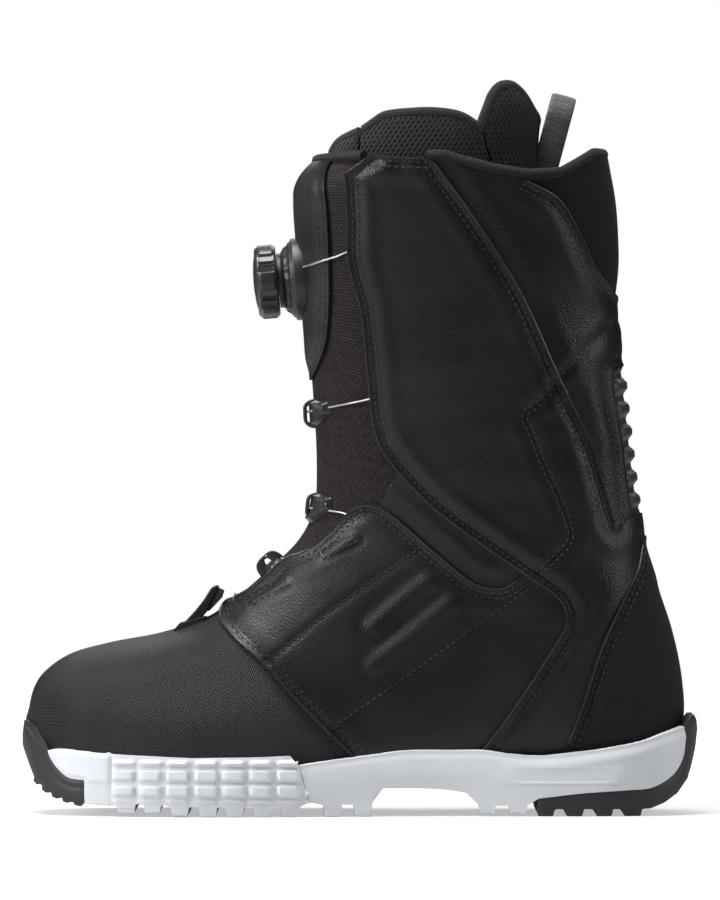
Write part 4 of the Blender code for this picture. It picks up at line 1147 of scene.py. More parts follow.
    def sew(self):
        """Every stitched row of the boot's body, on both sides."""
        rows = []
        for side in (OUTER, INNER):
            lines = [shifted(joined(FRONT[3:], LOW[1:-9]), d) for d in DOUBLE_ROW]
            lines += [shifted(DIAGONAL[1:-1], -d) for d in DOUBLE_ROW]
            top = COLLAR[(COLLAR[:, 0] > 6) & (COLLAR[:, 0] < 31)]
            lines += [shifted(top, -d) for d in (3.6, 6.0)]
            lines += [shifted(TOE[7:-8], d) for d in DOUBLE_ROW]
            lines += [shifted(SADDLE[4:-3], -d) for d in (2.2, 4.6)]
            lines += [SEAM_A, SEAM_B[2:-2], SEAM_C[1:]]
            lines += [shifted(CONTOUR, d) for d in (-1.2, 1.2)]
            collar = MESH_EDGE[MESH_EDGE[:, 0] < 116]
            lines += [shifted(collar, -d) for d in DOUBLE_ROW]
            flex = FLEX[(FLEX[:, 0] < 121) & (FLEX[:, 1] < 205)]
            lines += [shifted(flex, -d) for d in DOUBLE_ROW]
            heel = HEEL[(HEEL[:, 0] < 129) & (HEEL[:, 1] > 33)]
            lines += [shifted(heel, d) for d in DOUBLE_ROW]
            lines += [shifted(slot, d) for slot in SLOTS for d in (-1.7, 1.7)]
            rows += [(line, side) for line in lines]
        edges = [(shifted(TOE[6:-7], d), side) for d in (0.2, 3.6)
                 for side in (OUTER, INNER)]
        for side in (OUTER, INNER):
            edges += [(shifted(SADDLE[7:-3], -0.35), side),
                      (shifted(joined(FRONT[1:], LOW[1:-9]), 0.35), side),
                      (shifted(DIAGONAL[1:-1], -0.35), side),
                      (shifted(MESH_EDGE[MESH_EDGE[:, 0] < 116], -0.35), side),
                      (shifted(HEEL[(HEEL[:, 0] < 129) & (HEEL[:, 1] > 33)], 0.35), side)]
            for slot in SLOTS:
                way = (slot[1] - slot[0]) / np.linalg.norm(slot[1] - slot[0])
                across = np.array([-way[1], way[0]]) * 2.4
                edges.append((np.stack([slot[0] - way - across, slot[0] - way + across]),
                              side))
        welts("upper_turned_edges", self.skin, edges, self.made, PAINTS.welt_painted_highlight)
        stitches("upper_stitching", self.skin, rows, "boot", PAINTS.thread,
                 self.made)


# ---------------------------------------------------------------- tongue, dial and lace

def top_roll_off(p):
    """How far the top of the tongue curves back from its front."""
    front = ramp(-p[..., 0], -8.0, 16.0)
    return -8.5 * front * np.clip((p[..., 2] - 285.0) / 17.0, 0, 1.3) ** 1.8


def make_tongue(upper):
    """Knit tongue, the leather panel under the dial, and the rolled top edge."""
    def fabric_height(phi, p):
        z = p[..., 2]
        edge = line_distance(joined(FRONT, LOW_FRONT), p)
        soft = 0.35 * ripple(p * (1, 1, 1.4), 34.0, 41)
        return -2.1 - 0.5 * bump(edge, 4.0) + soft * ramp(z, 125, 150) + top_roll_off(p)

    outline = joined(shifted(SADDLE_FRONT, -2.0), [(14, 140), (24, 146), (20, 157)],
                     shifted(FRONT, 2.0)[::-1], [(-2.0, 302.5), (-60.5, 302.5)])
    coarse = PatchGrid(upper.skin, *TONGUE_PATCHES)
    tongue = coarse.patch("tongue_knit", outline, BOTH, fabric_height, PAINTS.tongue, 2.2,
                          0.0, along_front=True, sewn=5.0)
    inflate(tongue, TONGUE_PUFF_CAP)
    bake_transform(tongue)
    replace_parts(tongue, "shell_tongue")

    def panel_height(phi, p):
        z = p[..., 2]
        edge = line_distance(PANEL_EDGE, p)
        pinch = -0.8 * bump(z - 199, 8.0)
        return (-0.1 + 0.25 * bump(edge - 7.0, 3.0) - 0.3 * bump(edge - 2.6, 1.6) + pinch
                + 0.2 * ripple(p, 40.0, 42) + top_roll_off(p))

    outline = joined([(-60, 199.4)], PANEL_EDGE, [(-60, 301.5)])
    panel = upper.grid.patch("tongue_panel_leather", outline, BOTH, panel_height,
                             PAINTS.panel, 1.6)
    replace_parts(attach(panel, "tongue"), "tongue_power_panel")
    edge = PANEL_EDGE[(PANEL_EDGE[:, 1] > 204) & (PANEL_EDGE[:, 1] < 284)]
    rows = [(shifted(edge, d), side)
            for side in (OUTER, INNER) for d in (1.7, 4.0)]
    stitches("tongue_panel_stitching", upper.skin, rows, "tongue", PAINTS.thread,
             [panel])

    angles = np.linspace(-0.315, 0.315, 90) * math.pi
    ring = edge_ring(angles, [(-45, 301.6), (20, 301.2)], -1.9)
    _, normals = SHELL.place(np.full(len(angles), 0.97), angles, np.zeros(len(angles)))
    ring = ring + normals * top_roll_off(ring)[:, None]
    roll = cord_mesh("tongue_top_binding", ring, 2.6, PAINTS.binding, 14)
    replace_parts(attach(roll, "tongue"), "tongue_binding")


def edge_ring(angles, line, height):
    """Points where the upper meets a side-view line z(x) near its top."""
    rows = np.linspace(0.75, 1, 900)
    row = rows[:, None].repeat(len(angles), axis=1)
    angle = np.asarray(angles)[None].repeat(len(rows), axis=0)
    points, _ = SHELL.place(row, angle, np.full(row.shape, float(height)))
    xs, zs = zip(*line)
    miss = np.abs(points[..., 2] - np.interp(points[..., 0], xs, zs))
    return points[np.argmin(miss, axis=0), np.arange(len(angles))]


def outline_solid(name, outlines, width, rounding, finish, place):
    """Side-view outlines (a hole is an outline in an outline), thick across Y."""
    data = bpy.data.curves.new(name, "CURVE")
    data.dimensions = "2D"
    data.fill_mode = "BOTH"
    data.extrude = (width / 2 - rounding) * MM
    data.bevel_depth = rounding * MM
    data.bevel_resolution = 3
    data.offset = -rounding * MM
    for outline in outlines:
        line = data.splines.new("POLY")
        line.points.add(len(outline) - 1)
        for point, (u, v) in zip(line.points, outline):
            point.co = (u * MM, v * MM, 0, 1)
        line.use_cyclic_u = True
    curve = bpy.data.objects.new(name + "_curve", data)
    bpy.context.scene.collection.objects.link(curve)
    bpy.context.view_layer.update()
    evaluated = curve.evaluated_get(bpy.context.evaluated_depsgraph_get())
    mesh = bpy.data.meshes.new_from_object(evaluated)
    mesh.name = name
    bpy.data.objects.remove(curve)
    obj = bpy.data.objects.new(name, mesh)
    bpy.context.scene.collection.objects.link(obj)
    layer = mesh.uv_layers.new(name="cloth")
    for loop in mesh.loops:
        layer.data[loop.index].uv = mesh.vertices[loop.vertex_index].co.xy
    mesh.transform(place)
    weld(obj, False)
    mesh.shade_smooth()
    mesh.set_sharp_from_angle(angle=math.radians(35))
    mesh.materials.clear()
    mesh.materials.append(finish)
    return obj


# Guides: name, middle, slope along the tongue in degrees, half length of the channel,
# and how far the shield reaches back
GUIDES = [("lace_guide_upper", (-21.0, 184.0), 92.0, 4.4, 5.9),
          ("lace_guide_middle", (-20.0, 141.0), 84.0, 4.4, 5.9),
          ("lace_guide_lower", (-41.3, 114.4), 42.0, 1.8, 2.6)]


def round_corners(points, radius, steps=5):
    """A closed outline with each corner replaced by an arc-like curve."""
    points = [np.array(p, dtype=float) for p in points]
    result = []
    for before, here, after in zip(points[-1:] + points[:-1], points,
                                   points[1:] + points[:1]):
        start = here + (before - here) * min(radius / np.linalg.norm(before - here), 0.48)
        end = here + (after - here) * min(radius / np.linalg.norm(after - here), 0.48)
        for t in np.linspace(0, 1, steps):
            result.append((1 - t) ** 2 * start + 2 * t * (1 - t) * here + t * t * end)
    return result


def make_guides(upper):
    """Moulded saddles across the tongue, each with an open channel for the lace."""
    for name, middle, slope, reach, back in GUIDES:
        outer = round_corners([(-7.0, -2.8), (7.0, -2.8), (6.7, 1.6), (4.4, 5.2),
                               (-4.0, 5.2), (-6.7, 2.2)], 2.2)
        hole = round_corners([(-reach, 0.4), (reach, 0.4), (reach - 0.8, 3.4),
                              (0.8 - reach, 3.4)], 0.9)
        turn = (Matrix.Translation(Vector((middle[0], 0, middle[1])) * MM)
                @ Matrix.Rotation(math.radians(-slope), 4, "Y")
                @ Matrix.Rotation(math.pi / 2, 4, "X"))
        arch = outline_solid(name + "_arch", [outer, hole[::-1]], 11.0, 0.7,
                             PAINTS.plastic, turn)
        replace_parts(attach(arch, "tongue"), name)
        along = np.array([math.cos(math.radians(slope)), math.sin(math.radians(slope))])
        inward = np.array([along[1], -along[0]])
        corners = [(6.5, -12), (6.5, -4.0), (5.0, back - 0.7), (-0.6, back), (-6.8, -2.0),
                   (-6.8, -12)]
        shield = round_corners([np.array(middle) + along * u + inward * v
                                for u, v in corners], 1.6)

        def height(phi, p):
            return -1.9 + 2.0 * ramp(phi, 0.0, 1.2) + 0.5 * bump(phi - 1.4, 0.8)

        foot = upper.grid.patch(name + "_foot", np.array(shield[::-1]), BOTH, height,
                                PAINTS.plastic, 1.2, 0.3)
        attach(foot, "tongue")


def dial_place():
    """Turns local Z to the dial's axis, which looks forward and a little down."""
    tilt = Matrix.Rotation(math.radians(-90 - DIAL_TILT), 4, "Y")
    return Matrix.Translation(DIAL_SEAT * MM) @ tilt


def lathe(name, profile, finish, steps, relief=None, body="tongue"):
    """A profile of (radius, height) turned round the dial's axis, with a relief."""
    profile = np.asarray(profile, dtype=float)
    turn = np.linspace(0, 2 * math.pi, steps, endpoint=False)
    radius = profile[:, 0][:, None].repeat(steps, axis=1)
    height = profile[:, 1][:, None].repeat(steps, axis=1)
    if relief is not None:
        radius, height = relief(radius, height, turn[None])
    rings = np.stack([radius * np.cos(turn), radius * np.sin(turn), height], axis=-1)
    place = dial_place()
    flat = rings.reshape(-1, 3) * MM
    turned = np.array([place @ Vector(p) for p in flat]) / MM
    obj = mesh_object(name, turned, tube_faces(len(profile), steps), finish)
    turn_faces_out(obj)
    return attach(obj, body)


def make_dial():
    """Flanged base with vent slits, gripped knob, domed cap with a ring."""
    def slits(radius, height, turn):
        lobes = np.abs(((turn / (2 * math.pi) * 18) % 1) - 0.5) * 2
        on_cone = bump(height - 4.6, 1.5)
        return radius - 0.7 * on_cone * ramp(lobes, 0.35, 0.6), height

    base = [(2.0, -5.0), (18.4, -5.0), (19.0, -3.0), (19.0, 0.6), (18.9, 1.3), (18.4, 1.8),
            (17.8, 1.9), (17.6, 2.3), (17.3, 2.9), (16.6, 3.3), (15.9, 3.8), (15.4, 4.6),
            (15.0, 5.3), (14.2, 5.9), (13.4, 6.2), (12.9, 6.7), (12.6, 7.2), (12.6, 8.4),
            (12.2, 8.7), (9.0, 8.7)]
    obj = lathe("dial_base_housing", base, PAINTS.matt_plastic, 144, slits)
    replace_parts(obj, "dial_base")

    def grip(radius, height, turn):
        period = (turn / (2 * math.pi) * 6) % 1
        pad = ramp(0.24 - np.abs(period - 0.5), 0.0, 0.03)
        beside = np.minimum(np.abs(period - 0.045), np.abs(period - 0.955))
        ridge = bump(beside, 0.022)
        band = ramp(height, 9.8, 10.8) * ramp(-height, -17.6, -16.4)
        rim = ramp(radius, 15.0, 16.0)
        lift = 1.15 * pad + 0.95 * ridge
        return radius - rim * 0.2 + rim * band * (lift - 0.35), height

    grip_profile = [(6.0, 8.9), (14.6, 8.9), (15.9, 9.1), (16.5, 9.6)]
    grip_profile += [(16.7, h) for h in np.linspace(10.1, 17.0, 13)]
    grip_profile += [(16.5, 17.6), (15.9, 18.2), (15.0, 18.7), (14.2, 18.9), (13.9, 18.6),
                     (13.6, 18.3), (6.0, 18.3)]
    knob = lathe("dial_knob_grip", grip_profile, PAINTS.plastic, 288, grip, "dial_grip")
    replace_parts(knob, "dial_knob")
    cap = [(0.4, 20.2), (3.0, 20.15), (5.4, 20.0), (5.7, 19.6), (6.2, 19.6), (6.5, 19.85),
           (9.0, 19.65), (11.2, 19.25), (12.6, 18.8), (13.3, 18.3), (13.3, 17.6),
           (0.4, 17.6)]
    cover = lathe("dial_cap_cover", cap, PAINTS.matt_plastic, 96, body="dial_grip")
    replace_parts(cover, "dial_cap")


def on_shell(side, x, z, depth):
    row, angle = SHELL.find([(x, z)], side)
    return SHELL.place(row, angle, np.array([-float(depth)]))[0][0]


def make_lace():
    """Steel lace. Each span bends between the tongue's guide and the leather's edge."""
    over, panel, inside, tunnel = 1.25, -0.85, 3.2, 5.4
    spans = {
        "dial": [(None, (-31.5, 9.6, 249.3)), (None, (-29.6, 14.5, 250.2)),
                 (panel, (-25.2, 251.2)), (panel, (-21, 252.4)), (panel, (-16, 254.0)),
                 (over, (-11.5, 255.5)), (over, (-7.5, 257.2)), (0.4, (-5.0, 257.6)),
                 (1.6, (-2.5, 257.6)), (inside, (2, 257))],
        "upper": [(None, (-24.2, 0.0, 185.0)), (None, (-23.9, 5.2, 184.9)),
                  (over, (-9, 187.7)), (over - 0.6, (-2, 189.0)), (0.2, (3.6, 190.3)),
                  (1.4, (6.5, 190.8)), (inside, (11.5, 191))],
        "middle": [(None, (-23.4, 0.0, 140.6)), (None, (-23.1, 5.2, 140.5)),
                   (over, (-13, 139.2)), (over - 0.6, (-8.5, 138.4)),
                   (0.4, (-6.2, 137.6)), (1.6, (-3.5, 137.0)), (inside, (2, 134.5))],
        "lower": [(None, (-43.8, 0.0, 118.2)), (None, (-43.2, 5.2, 118.4)),
                  (over, (-38.5, 118.4)), (0.8, (-36, 117.6)), (1.6, (-33, 115.8)),
                  (inside, (-28, 112))],
    }
    ends = {}
    for side, label in ((OUTER, "outer"), (INNER, "inner")):
        for key, stops in spans.items():
            points = [np.array((spot[0], side * spot[1], spot[2])) if depth is None
                      else on_shell(side, *spot, depth) for depth, spot in stops]
            route = even(spline(points, np.linspace(0, 1, 160)), 0.5)
            name = "lace_span_" + key + "_" + label
            strand = cord_mesh(name, route, LACE_RADIUS, PAINTS.steel, 12,
                               twist=1.1, strands=6)
            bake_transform(strand)
            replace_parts(strand, "lace_cable")
            ends[key, side] = points[-1]
    hidden = [(OUTER, "dial", "upper", [(7, 253), (10.5, 244), (12, 230), (14, 212)]),
              (OUTER, "middle", "lower", [(7, 127), (-6, 117), (-19, 111)]),
              (INNER, "upper", "middle", [(16, 184), (19, 170), (19, 150), (12, 136)]),
              (INNER, "lower", "dial", [(-18, 108), (5, 118), (24, 138), (27, 165),
                                        (21, 200), (18, 230), (13, 248), (7, 255)])]
    for side, first, last, stops in hidden:
        points = ([ends[first, side]] + [on_shell(side, x, z, tunnel) for x, z in stops]
                  + [ends[last, side]])
        route = even(spline(points, np.linspace(0, 1, 200)), 1.5)
        run = cord_mesh("lace_run_" + first + "_" + last, route, LACE_RADIUS,
                        PAINTS.steel, 8)
        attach(run, "boot")


# ---------------------------------------------------------------- collar and liner

def make_collar():
    """Rolled knit binding round the collar."""
    start = COLLAR_START * math.pi
    angles = np.linspace(start, 2 * math.pi - start, 260)
    angles = angles - 2 * math.pi * (angles > math.pi)
    ring = edge_ring(angles, COLLAR_LINE, -1.6)
    ring[:, 2] += 0.25 * ripple(ring, 14.0, 51)
    roll = cord_mesh("collar_roll", ring, 2.5, PAINTS.binding, 16, 1.05)
    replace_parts(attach(roll, "boot"), "collar_binding")


def make_liner():
    """Padded inner boot: cuff, vamp, rear collar and flap, with a rolled rim."""
    skin = Skin(surface(LINER_SECTIONS, *LINER_GRID))
    grid = PatchGrid(skin, *LINER_PATCHES)
    flap_edge, vamp_edge = smooth(LINER_FLAP_EDGE, 3), smooth(LINER_VAMP_EDGE, 3)
    collar_edge = joined([(58.5, 340)], smooth(LINER_COLLAR_EDGE[1:], 3))
    top_front, top_back = smooth(LINER_TOP[2:9], 2.0), smooth(LINER_TOP[8:15], 2.0)

    def puffed(puff):
        def height(phi, p):
            lift = -LINER_DEPTH + 0.3 * ripple(p, 22.0, 61)
            return lift + puff * (1 - np.exp(-phi / 5.0)) - 0.4
        return height

    pieces = [
        ("liner_cuff", joined([(165, 5), (165, 270)], collar_edge[:0:-1],
                              top_front[::-1][:-6], [(-4, 313.5)],
                              flap_edge[-2:0:-1], vamp_edge[1:]), "boot", 0.9),
        ("liner_vamp", joined(vamp_edge, [(-170, 5), (-170, 150), (-60, 150)]),
         "boot", 0.5),
        ("liner_rear_collar", joined(collar_edge, [(120, 296), (105, 300)],
                                     top_back[::-1]), "boot", 1.3),
        ("liner_tongue", joined(flap_edge[:-1], [(-4, 312.0)],
                                smooth(LINER_TOP[1:4], 2.0)[::-1], [(-60, 299)]),
         "liner_flap", 0.9),
    ]
    for name, outline, body, puff in pieces:
        obj = grid.patch(name + "_padding", outline, BOTH, puffed(puff),
                         PAINTS.mesh, LINER_WALL - 1.0, 0.0, sewn=4.0)
        inflate(obj, LINER_PUFF_CAP)
        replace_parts(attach(obj, body), name)
    make_rims(skin)


def make_rims(skin):
    """Rolled fleece rim along the top of the cuff, the rear collar and the flap."""
    def along(line, side):
        row, angle = skin.find(line, side)
        middle = -LINER_DEPTH - LINER_WALL / 2
        return skin.place(row, angle, np.full(len(row), middle))[0]

    front = smooth([(-3.0, 314.1)] + LINER_TOP[3:9], 2.0)
    back = smooth(LINER_TOP[8:16], 2.0)
    flap = smooth(LINER_TOP[1:4], 2.0)[1:]
    flap = flap[flap[:, 0] < -4.5]
    for side, label in ((OUTER, "outer"), (INNER, "inner")):
        rim = cord_mesh("cuff_rim_" + label, smooth_space(along(front, side)), 3.0,
                        PAINTS.fleece, 14)
        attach(rim, "boot")
        seam = smooth(LINER_COLLAR_EDGE[1:3], 2.0) + (0, 1.0)
        cord = cord_mesh("liner_seam_" + label, along(seam, side), 2.3, PAINTS.fleece, 12)
        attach(cord, "boot")
    for name, line, body in (("rear_collar_rim", back, "boot"),
                             ("flap_rim", flap[::-1], "liner_flap")):
        path = joined(along(line, OUTER), along(line[:-1], INNER)[::-1])
        rim = cord_mesh(name, smooth_space(path), 3.0, PAINTS.fleece, 14)
        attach(rim, body)


def smooth_space(path):
    """A smoother line in space through about every third point of a path."""
    coarse = even(path, 6.0)
    return even(spline(coarse, np.linspace(0, 1, 12 * len(coarse))), 1.2)


def sweep_strap(name, path, width, thickness, lean, finish, body):
    """A flat strap along a path, its width along `lean` and its faces rounded."""
    path = np.asarray(path, dtype=float)
    way = unit(np.gradient(path, axis=0))
    side = np.broadcast_to(np.asarray(lean, dtype=float), path.shape)
    side = unit(side - way * np.sum(side * way, axis=1, keepdims=True))
    up = np.cross(side, way)
    edge = thickness / 2
    section = []
    for u in np.linspace(-1, 1, 15):
        section.append((u * (width / 2 - edge * 0.4), edge * (1 - 0.45 * abs(u) ** 6)))
    section += [(width / 2, 0.0)]
    section += [(u, -v) for u, v in section[-2::-1]]
    section += [(-width / 2, 0.0)]
    rings, uv = [], []
    along = path_length(path)
    for u, v in section:
        rings.append(path + side * u + up * v)
        uv.append(np.stack([np.full(len(path), u + (v < 0) * width), along], axis=1))
    rings, uv = np.stack(rings, axis=1), np.stack(uv, axis=1)
    obj = mesh_object(name, rings.reshape(-1, 3), tube_faces(len(path), len(section)),
                      finish, uv.reshape(-1, 2) * MM)
    turn_faces_out(obj)
    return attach(obj, body)


# Side profiles of the folded tab at the front of the lacing
TAB_LEATHER = [(-82.4, 87.0), (-80.4, 88.4), (-76.0, 93.2), (-72.3, 97.8), (-68.5, 103.8),
               (-66.0, 105.0), (-64.9, 104.2), (-70.0, 93.4), (-72.9, 89.8), (-79.0, 86.6)]
TAB_WEBBING = [(-66.3, 104.1), (-62.6, 102.4), (-63.7, 99.0), (-69.2, 93.2), (-71.3, 92.8)]
TAB_BASE = [(-86.0, 84.1), (-83.0, 87.6), (-80.6, 88.0), (-74.0, 90.2), (-70.5, 90.6),
            (-74.0, 86.0), (-82.0, 83.6)]


def make_loops():
    """Webbing loop behind the liner, and the folded tab at the front of the lacing."""
    reach, half = 36.0, 11.0
    legs = [(-half, t) for t in np.linspace(0, reach - half, 14)]
    arc = [(-half * math.cos(a), reach - half + half * math.sin(a) ** 0.8)
           for a in np.linspace(0, math.pi, 22)[1:-1]]
    flat = legs + arc + [(-y, t) for y, t in legs[::-1]]
    lean = math.radians(15)
    base = np.array([84.8, 0.0, 295.0])
    up_way = np.array([math.sin(lean), 0, math.cos(lean)])
    path = [base + np.array([0, y, 0]) + up_way * t for y, t in flat]
    path = even(spline(path, np.linspace(0, 1, 160)), 1.0)
    loop = sweep_strap("pull_loop_webbing", path, 11.5, 1.9,
                       (math.cos(lean), 0, -math.sin(lean)), PAINTS.webbing,
                       "pull_loop")
    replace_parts(loop, "liner_pull_loop")
    sway = float(toe_swing(-76.0))
    upright = (Matrix.Translation(Vector((0, sway, 0)) * MM)
               @ Matrix.Rotation(math.pi / 2, 4, "X"))
    tab = outline_solid("toe_tab_leather", [round_corners(TAB_LEATHER, 1.0, 4)], 21.0, 0.7,
                        PAINTS.saddle, upright)
    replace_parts(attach(tab, "toe_pull"), "toe_tab")
    ribs = outline_solid("toe_tab_webbing", [round_corners(TAB_WEBBING, 0.6, 4)], 20.0,
                         0.3, PAINTS.tab_webbing, upright)
    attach(ribs, "toe_pull")
    foot = outline_solid("toe_tab_base", [round_corners(TAB_BASE, 0.5, 4)], 22.0, 0.4,
                         PAINTS.edge, upright)
    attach(foot, "boot")


# ---------------------------------------------------------------- sole

SOLE_TOP = 50.0
MIDSOLE_TOP = [(-27.8, 23.4), (-17, 25), (4, 27.8), (22, 30), (40, 30), (55.7, 30),
               (67.6, 28.4), (81, 27.5), (94.7, 28.2), (112.8, 31), (128, 33.8),
               (137.8, 37), (148.7, 40.6)]
FOREFOOT_TOP = [(-142.6, 29.6), (-136, 30.6), (-113, 28.6), (-76.5, 27), (-46.7, 27.4),
                (-31.8, 28)]
TOE_INNER = [(-149.7, 41), (-146.4, 36.3), (-143, 30.7), (-141.8, 26.6), (-137.5, 21),
             (-132.4, 17.4), (-125.4, 16.5)]
HEEL_INNER = [(81.5, 8.2), (102.5, 10.6), (121.7, 11.9), (132.6, 12.8), (141, 17),
              (145.5, 22), (148, 29), (148.7, 40.6)]
TOE_SOLE = [(-149.2, 17.0), (-147.8, 15.3), (-143, 11.3), (-137, 8.5), (-132.4, 7),
            (-125.4, 5.6)]


def sole_skin():
    """The upright wall round the sole, as a surface with rows up and angle round."""
    plan = even(spline(SOLE_PLAN, np.linspace(0, 1, 900)), 0.25)
    turn = full_turn(900)
    way = np.interp(np.abs(turn) / math.pi, np.linspace(0, 1, len(plan)),
                    np.arange(len(plan)))
    x = np.interp(way, np.arange(len(plan)), plan[:, 0])
    half = np.interp(way, np.arange(len(plan)), plan[:, 1])
    half *= np.minimum(1, np.minimum(np.abs(way) / 4, np.abs(len(plan) - 1 - way) / 4))
    side = np.where(turn > 0, -1.0, 1.0)
    y = toe_swing(x) + side * half
    z = np.linspace(0.15, SOLE_TOP, 200)
    grid = np.empty((len(z), len(x), 3))
    grid[..., 0], grid[..., 1], grid[..., 2] = x[None], y[None], z[:, None]
    return Skin(grid)


def teeth(edges, foot, top):
    """Bottom line of a row of lugs, with grooves up to top."""
    line = []
    for start, end in edges:
        line += [(start - 0.4, top), (start + 0.4, foot), (end - 0.4, foot),
                 (end + 0.4, top)]
    return line


def make_sole():
    """Skins with the fine relief of the side walls, over the moulded sole."""
    skin = sole_skin()
    grid = PatchGrid(skin, *SOLE_PATCHES)
    slot_front = [(-111, -102.2), (-98.1, -90.7), (-85.7, -78), (-72.9, -65.3),
                  (-60.5, -53.1), (-47.8, -40.3), (-35.6, -28.2)]
    forefoot = joined([(-125.4, 5.8), (-121, 5.9), (-113.2, 5.4)],
                      teeth(slot_front[:1], 4.0, 6.6), teeth(slot_front[1:2], 2.2, 5.8),
                      teeth(slot_front[2:3], 1.0, 5.0), teeth(slot_front[3:], 0.25, 4.6),
                      [(-23.4, 6.5), (-28.2, 23.4), (-31.8, 28)],
                      smooth(FOREFOOT_TOP)[::-1], smooth(TOE_INNER[2:]))
    columns, pitch = -107.4, 12.45

    def blocks(phi, p):
        x, z = p[..., 0], p[..., 2]
        inset = ramp(-x, 113.0, 113.8)
        u = ((x - columns) / pitch + 0.5) % 1 - 0.5
        v = ((z - 8.6) / 7.0) % 1 - 0.5
        pad = ramp(0.41 - np.abs(u), 0.0, 0.09) * ramp(0.41 - np.abs(v), 0.0, 0.15)
        band = ramp(z, 6.0, 7.5) * ramp(-z, -26.4, -24.6)
        panel = 0.7 * ramp(phi, 0.4, 1.6) * ramp(z, 15.2, 16.2)
        dip = 0.5 * bump(x + 113.4, 0.8)
        tilt = 0.35 * (0.5 - v)
        return (0.35 + (1 - inset) * band * pad * (1.35 + tilt) + inset * panel - dip
                + 0.5 * bump(z - 14, 9))

    top = smooth(MIDSOLE_TOP)
    midfoot = [(54.9, 58.0), (58.6, 61.6), (68.6, 71.9), (72.5, 75.9)]
    middle = joined([(-27.8, 23.4), (-23.2, 6.6)],
                    teeth([(-16.3, -8.6), (-2.5, 5.2)], 0.25, 5.6),
                    smooth([(5.6, 7.4), (10.5, 12.8), (26.8, 12.9), (40.3, 12.1),
                            (48.5, 10.7), (54, 6)]),
                    teeth(midfoot, 1.3, 5.0), smooth(HEEL_INNER), top[::-1][1:])

    def smooth_wall(phi, p):
        x, z = p[..., 0], p[..., 2]
        crest = np.interp(x, *zip(*MIDSOLE_TOP))
        belly = bump((z - crest + 11.0) / 9.0, 1.0)
        lip = -0.5 * bump(z - crest + 1.0, 1.6)
        pinch = 0.45 * bump(z - crest + 5.0, 2.2) * ramp(x, 60, 90)
        mark = lozenge(x, z, 93.0, 18.6, 27.0, 3.8)
        arch = -0.6 * bump(np.hypot((x - 27) / 24, (z - 13) / 5), 1.0)
        return 0.4 + 0.55 * belly + lip + pinch + 0.3 * mark + arch

    toe_edge = [(-154.4, 43), (-155.5, 36), (-155.6, 32), (-153, 25.6), (-150.6, 20)]
    under = smooth(TOE_SOLE, 5.2)
    for start, end in zip(under, under[1:]):
        step = end - start
        out = np.array([step[1], -step[0]]) / np.linalg.norm(step) * 1.5
        toe_edge += [start, start + step * 0.12 + out, start + step * 0.6 + out,
                     start + step * 0.75]
    toe_edge += [(-125.4, 5.6)]

    def toe_relief(phi, p):
        edge = ramp(phi, 0.0, 2.2)
        groove = -0.4 * bump(line_distance(smooth(TOE_INNER), p) - 3.6, 0.9)
        return 0.35 + 0.5 * edge + groove

    heel_edge = [(128.9, 3.3), (132.6, 3.5), (139, 6), (145, 10), (150, 16.7), (152, 23),
                 (153.8, 30), (155, 39), (154.5, 43.4), (153, 46)]
    heel = joined(teeth([(80.9, 88.5), (93.9, 101.8), (107.6, 115.1), (120.3, 128.4)],
                        0.25, 3.4), heel_edge, smooth(HEEL_INNER)[::-1])
    pieces = [
        ("forefoot_wall_blocks", forefoot, blocks, PAINTS.white, "white_eva"),
        ("midsole_wall", middle, smooth_wall, PAINTS.white, "white_eva"),
        ("toe_rubber_wall", joined(toe_edge, smooth(TOE_INNER)[::-1]), toe_relief,
         PAINTS.rubber, "rubber"),
        ("heel_rubber_wall", heel, toe_relief, PAINTS.rubber, "rubber"),
    ]
    for name, outline, height, finish, slot in pieces:
        obj = grid.patch(name, outline, BOTH, height, finish, 2.2, 0.45)
        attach(obj, "boot")


def finish_cad_pieces():
    """Better materials for the CAD pieces that stay in view or inside."""
    for name, finish in (("midsole", PAINTS.white), ("outsole_forefoot", PAINTS.white),
                         ("outsole_toe_rubber", PAINTS.rubber),
                         ("outsole_heel_rubber", PAINTS.rubber),
                         ("lasting_board", PAINTS.board), ("heel_shock_pad", PAINTS.gel),
                         ("heel_stiffener", PAINTS.matt_plastic),
                         ("dial_spool", PAINTS.matt_plastic),
                         ("dial_drive_disc", PAINTS.matt_plastic),
                         ("dial_screw", PAINTS.steel)):
        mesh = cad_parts[name].data
        for index in range(len(mesh.materials)):
            mesh.materials[index] = finish
    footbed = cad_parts["footbed"].data
    footbed.materials.clear()
    footbed.materials.append(PAINTS.lining)


def lozenge(x, z, middle_x, middle_z, half_long, half_high):
    """A plain raised rim in the shape of a long lozenge with cut ends."""
    away = np.maximum(np.abs(x - middle_x) / half_long, np.abs(z - middle_z) / half_high)
    return bump(away - 0.9, 0.09)


# ---------------------------------------------------------------- camera, light, floor

CAMERA_DISTANCE = 4.0      # these five in m
CAMERA_HEIGHT = 0.1672
NEAR_SIDE = 0.03           # how far towards the camera the boot's side lies
VIEW_HEIGHT = 0.412        # what the picture's height shows there
LIGHT_TARGET = (0.0, 0.0, 0.14)
SENSOR = 36.0              # mm

# Lights: name, place in m, size in m, power in W
LIGHTS = [("overhead_softbox", (-0.25, -0.15, 1.5), (0.8, 0.7), 26),
          ("toe_side_softbox", (-1.6, -0.65, 1.0), (0.45, 0.8), 30),
          ("heel_side_softbox", (1.6, -0.3, 0.8), (0.3, 1.0), 8),
          ("back_strip", (0.2, 1.5, 1.1), (1.6, 0.5), 9),
          ("front_fill", (-0.9, -2.4, 1.6), (1.0, 0.4), 1.6)]


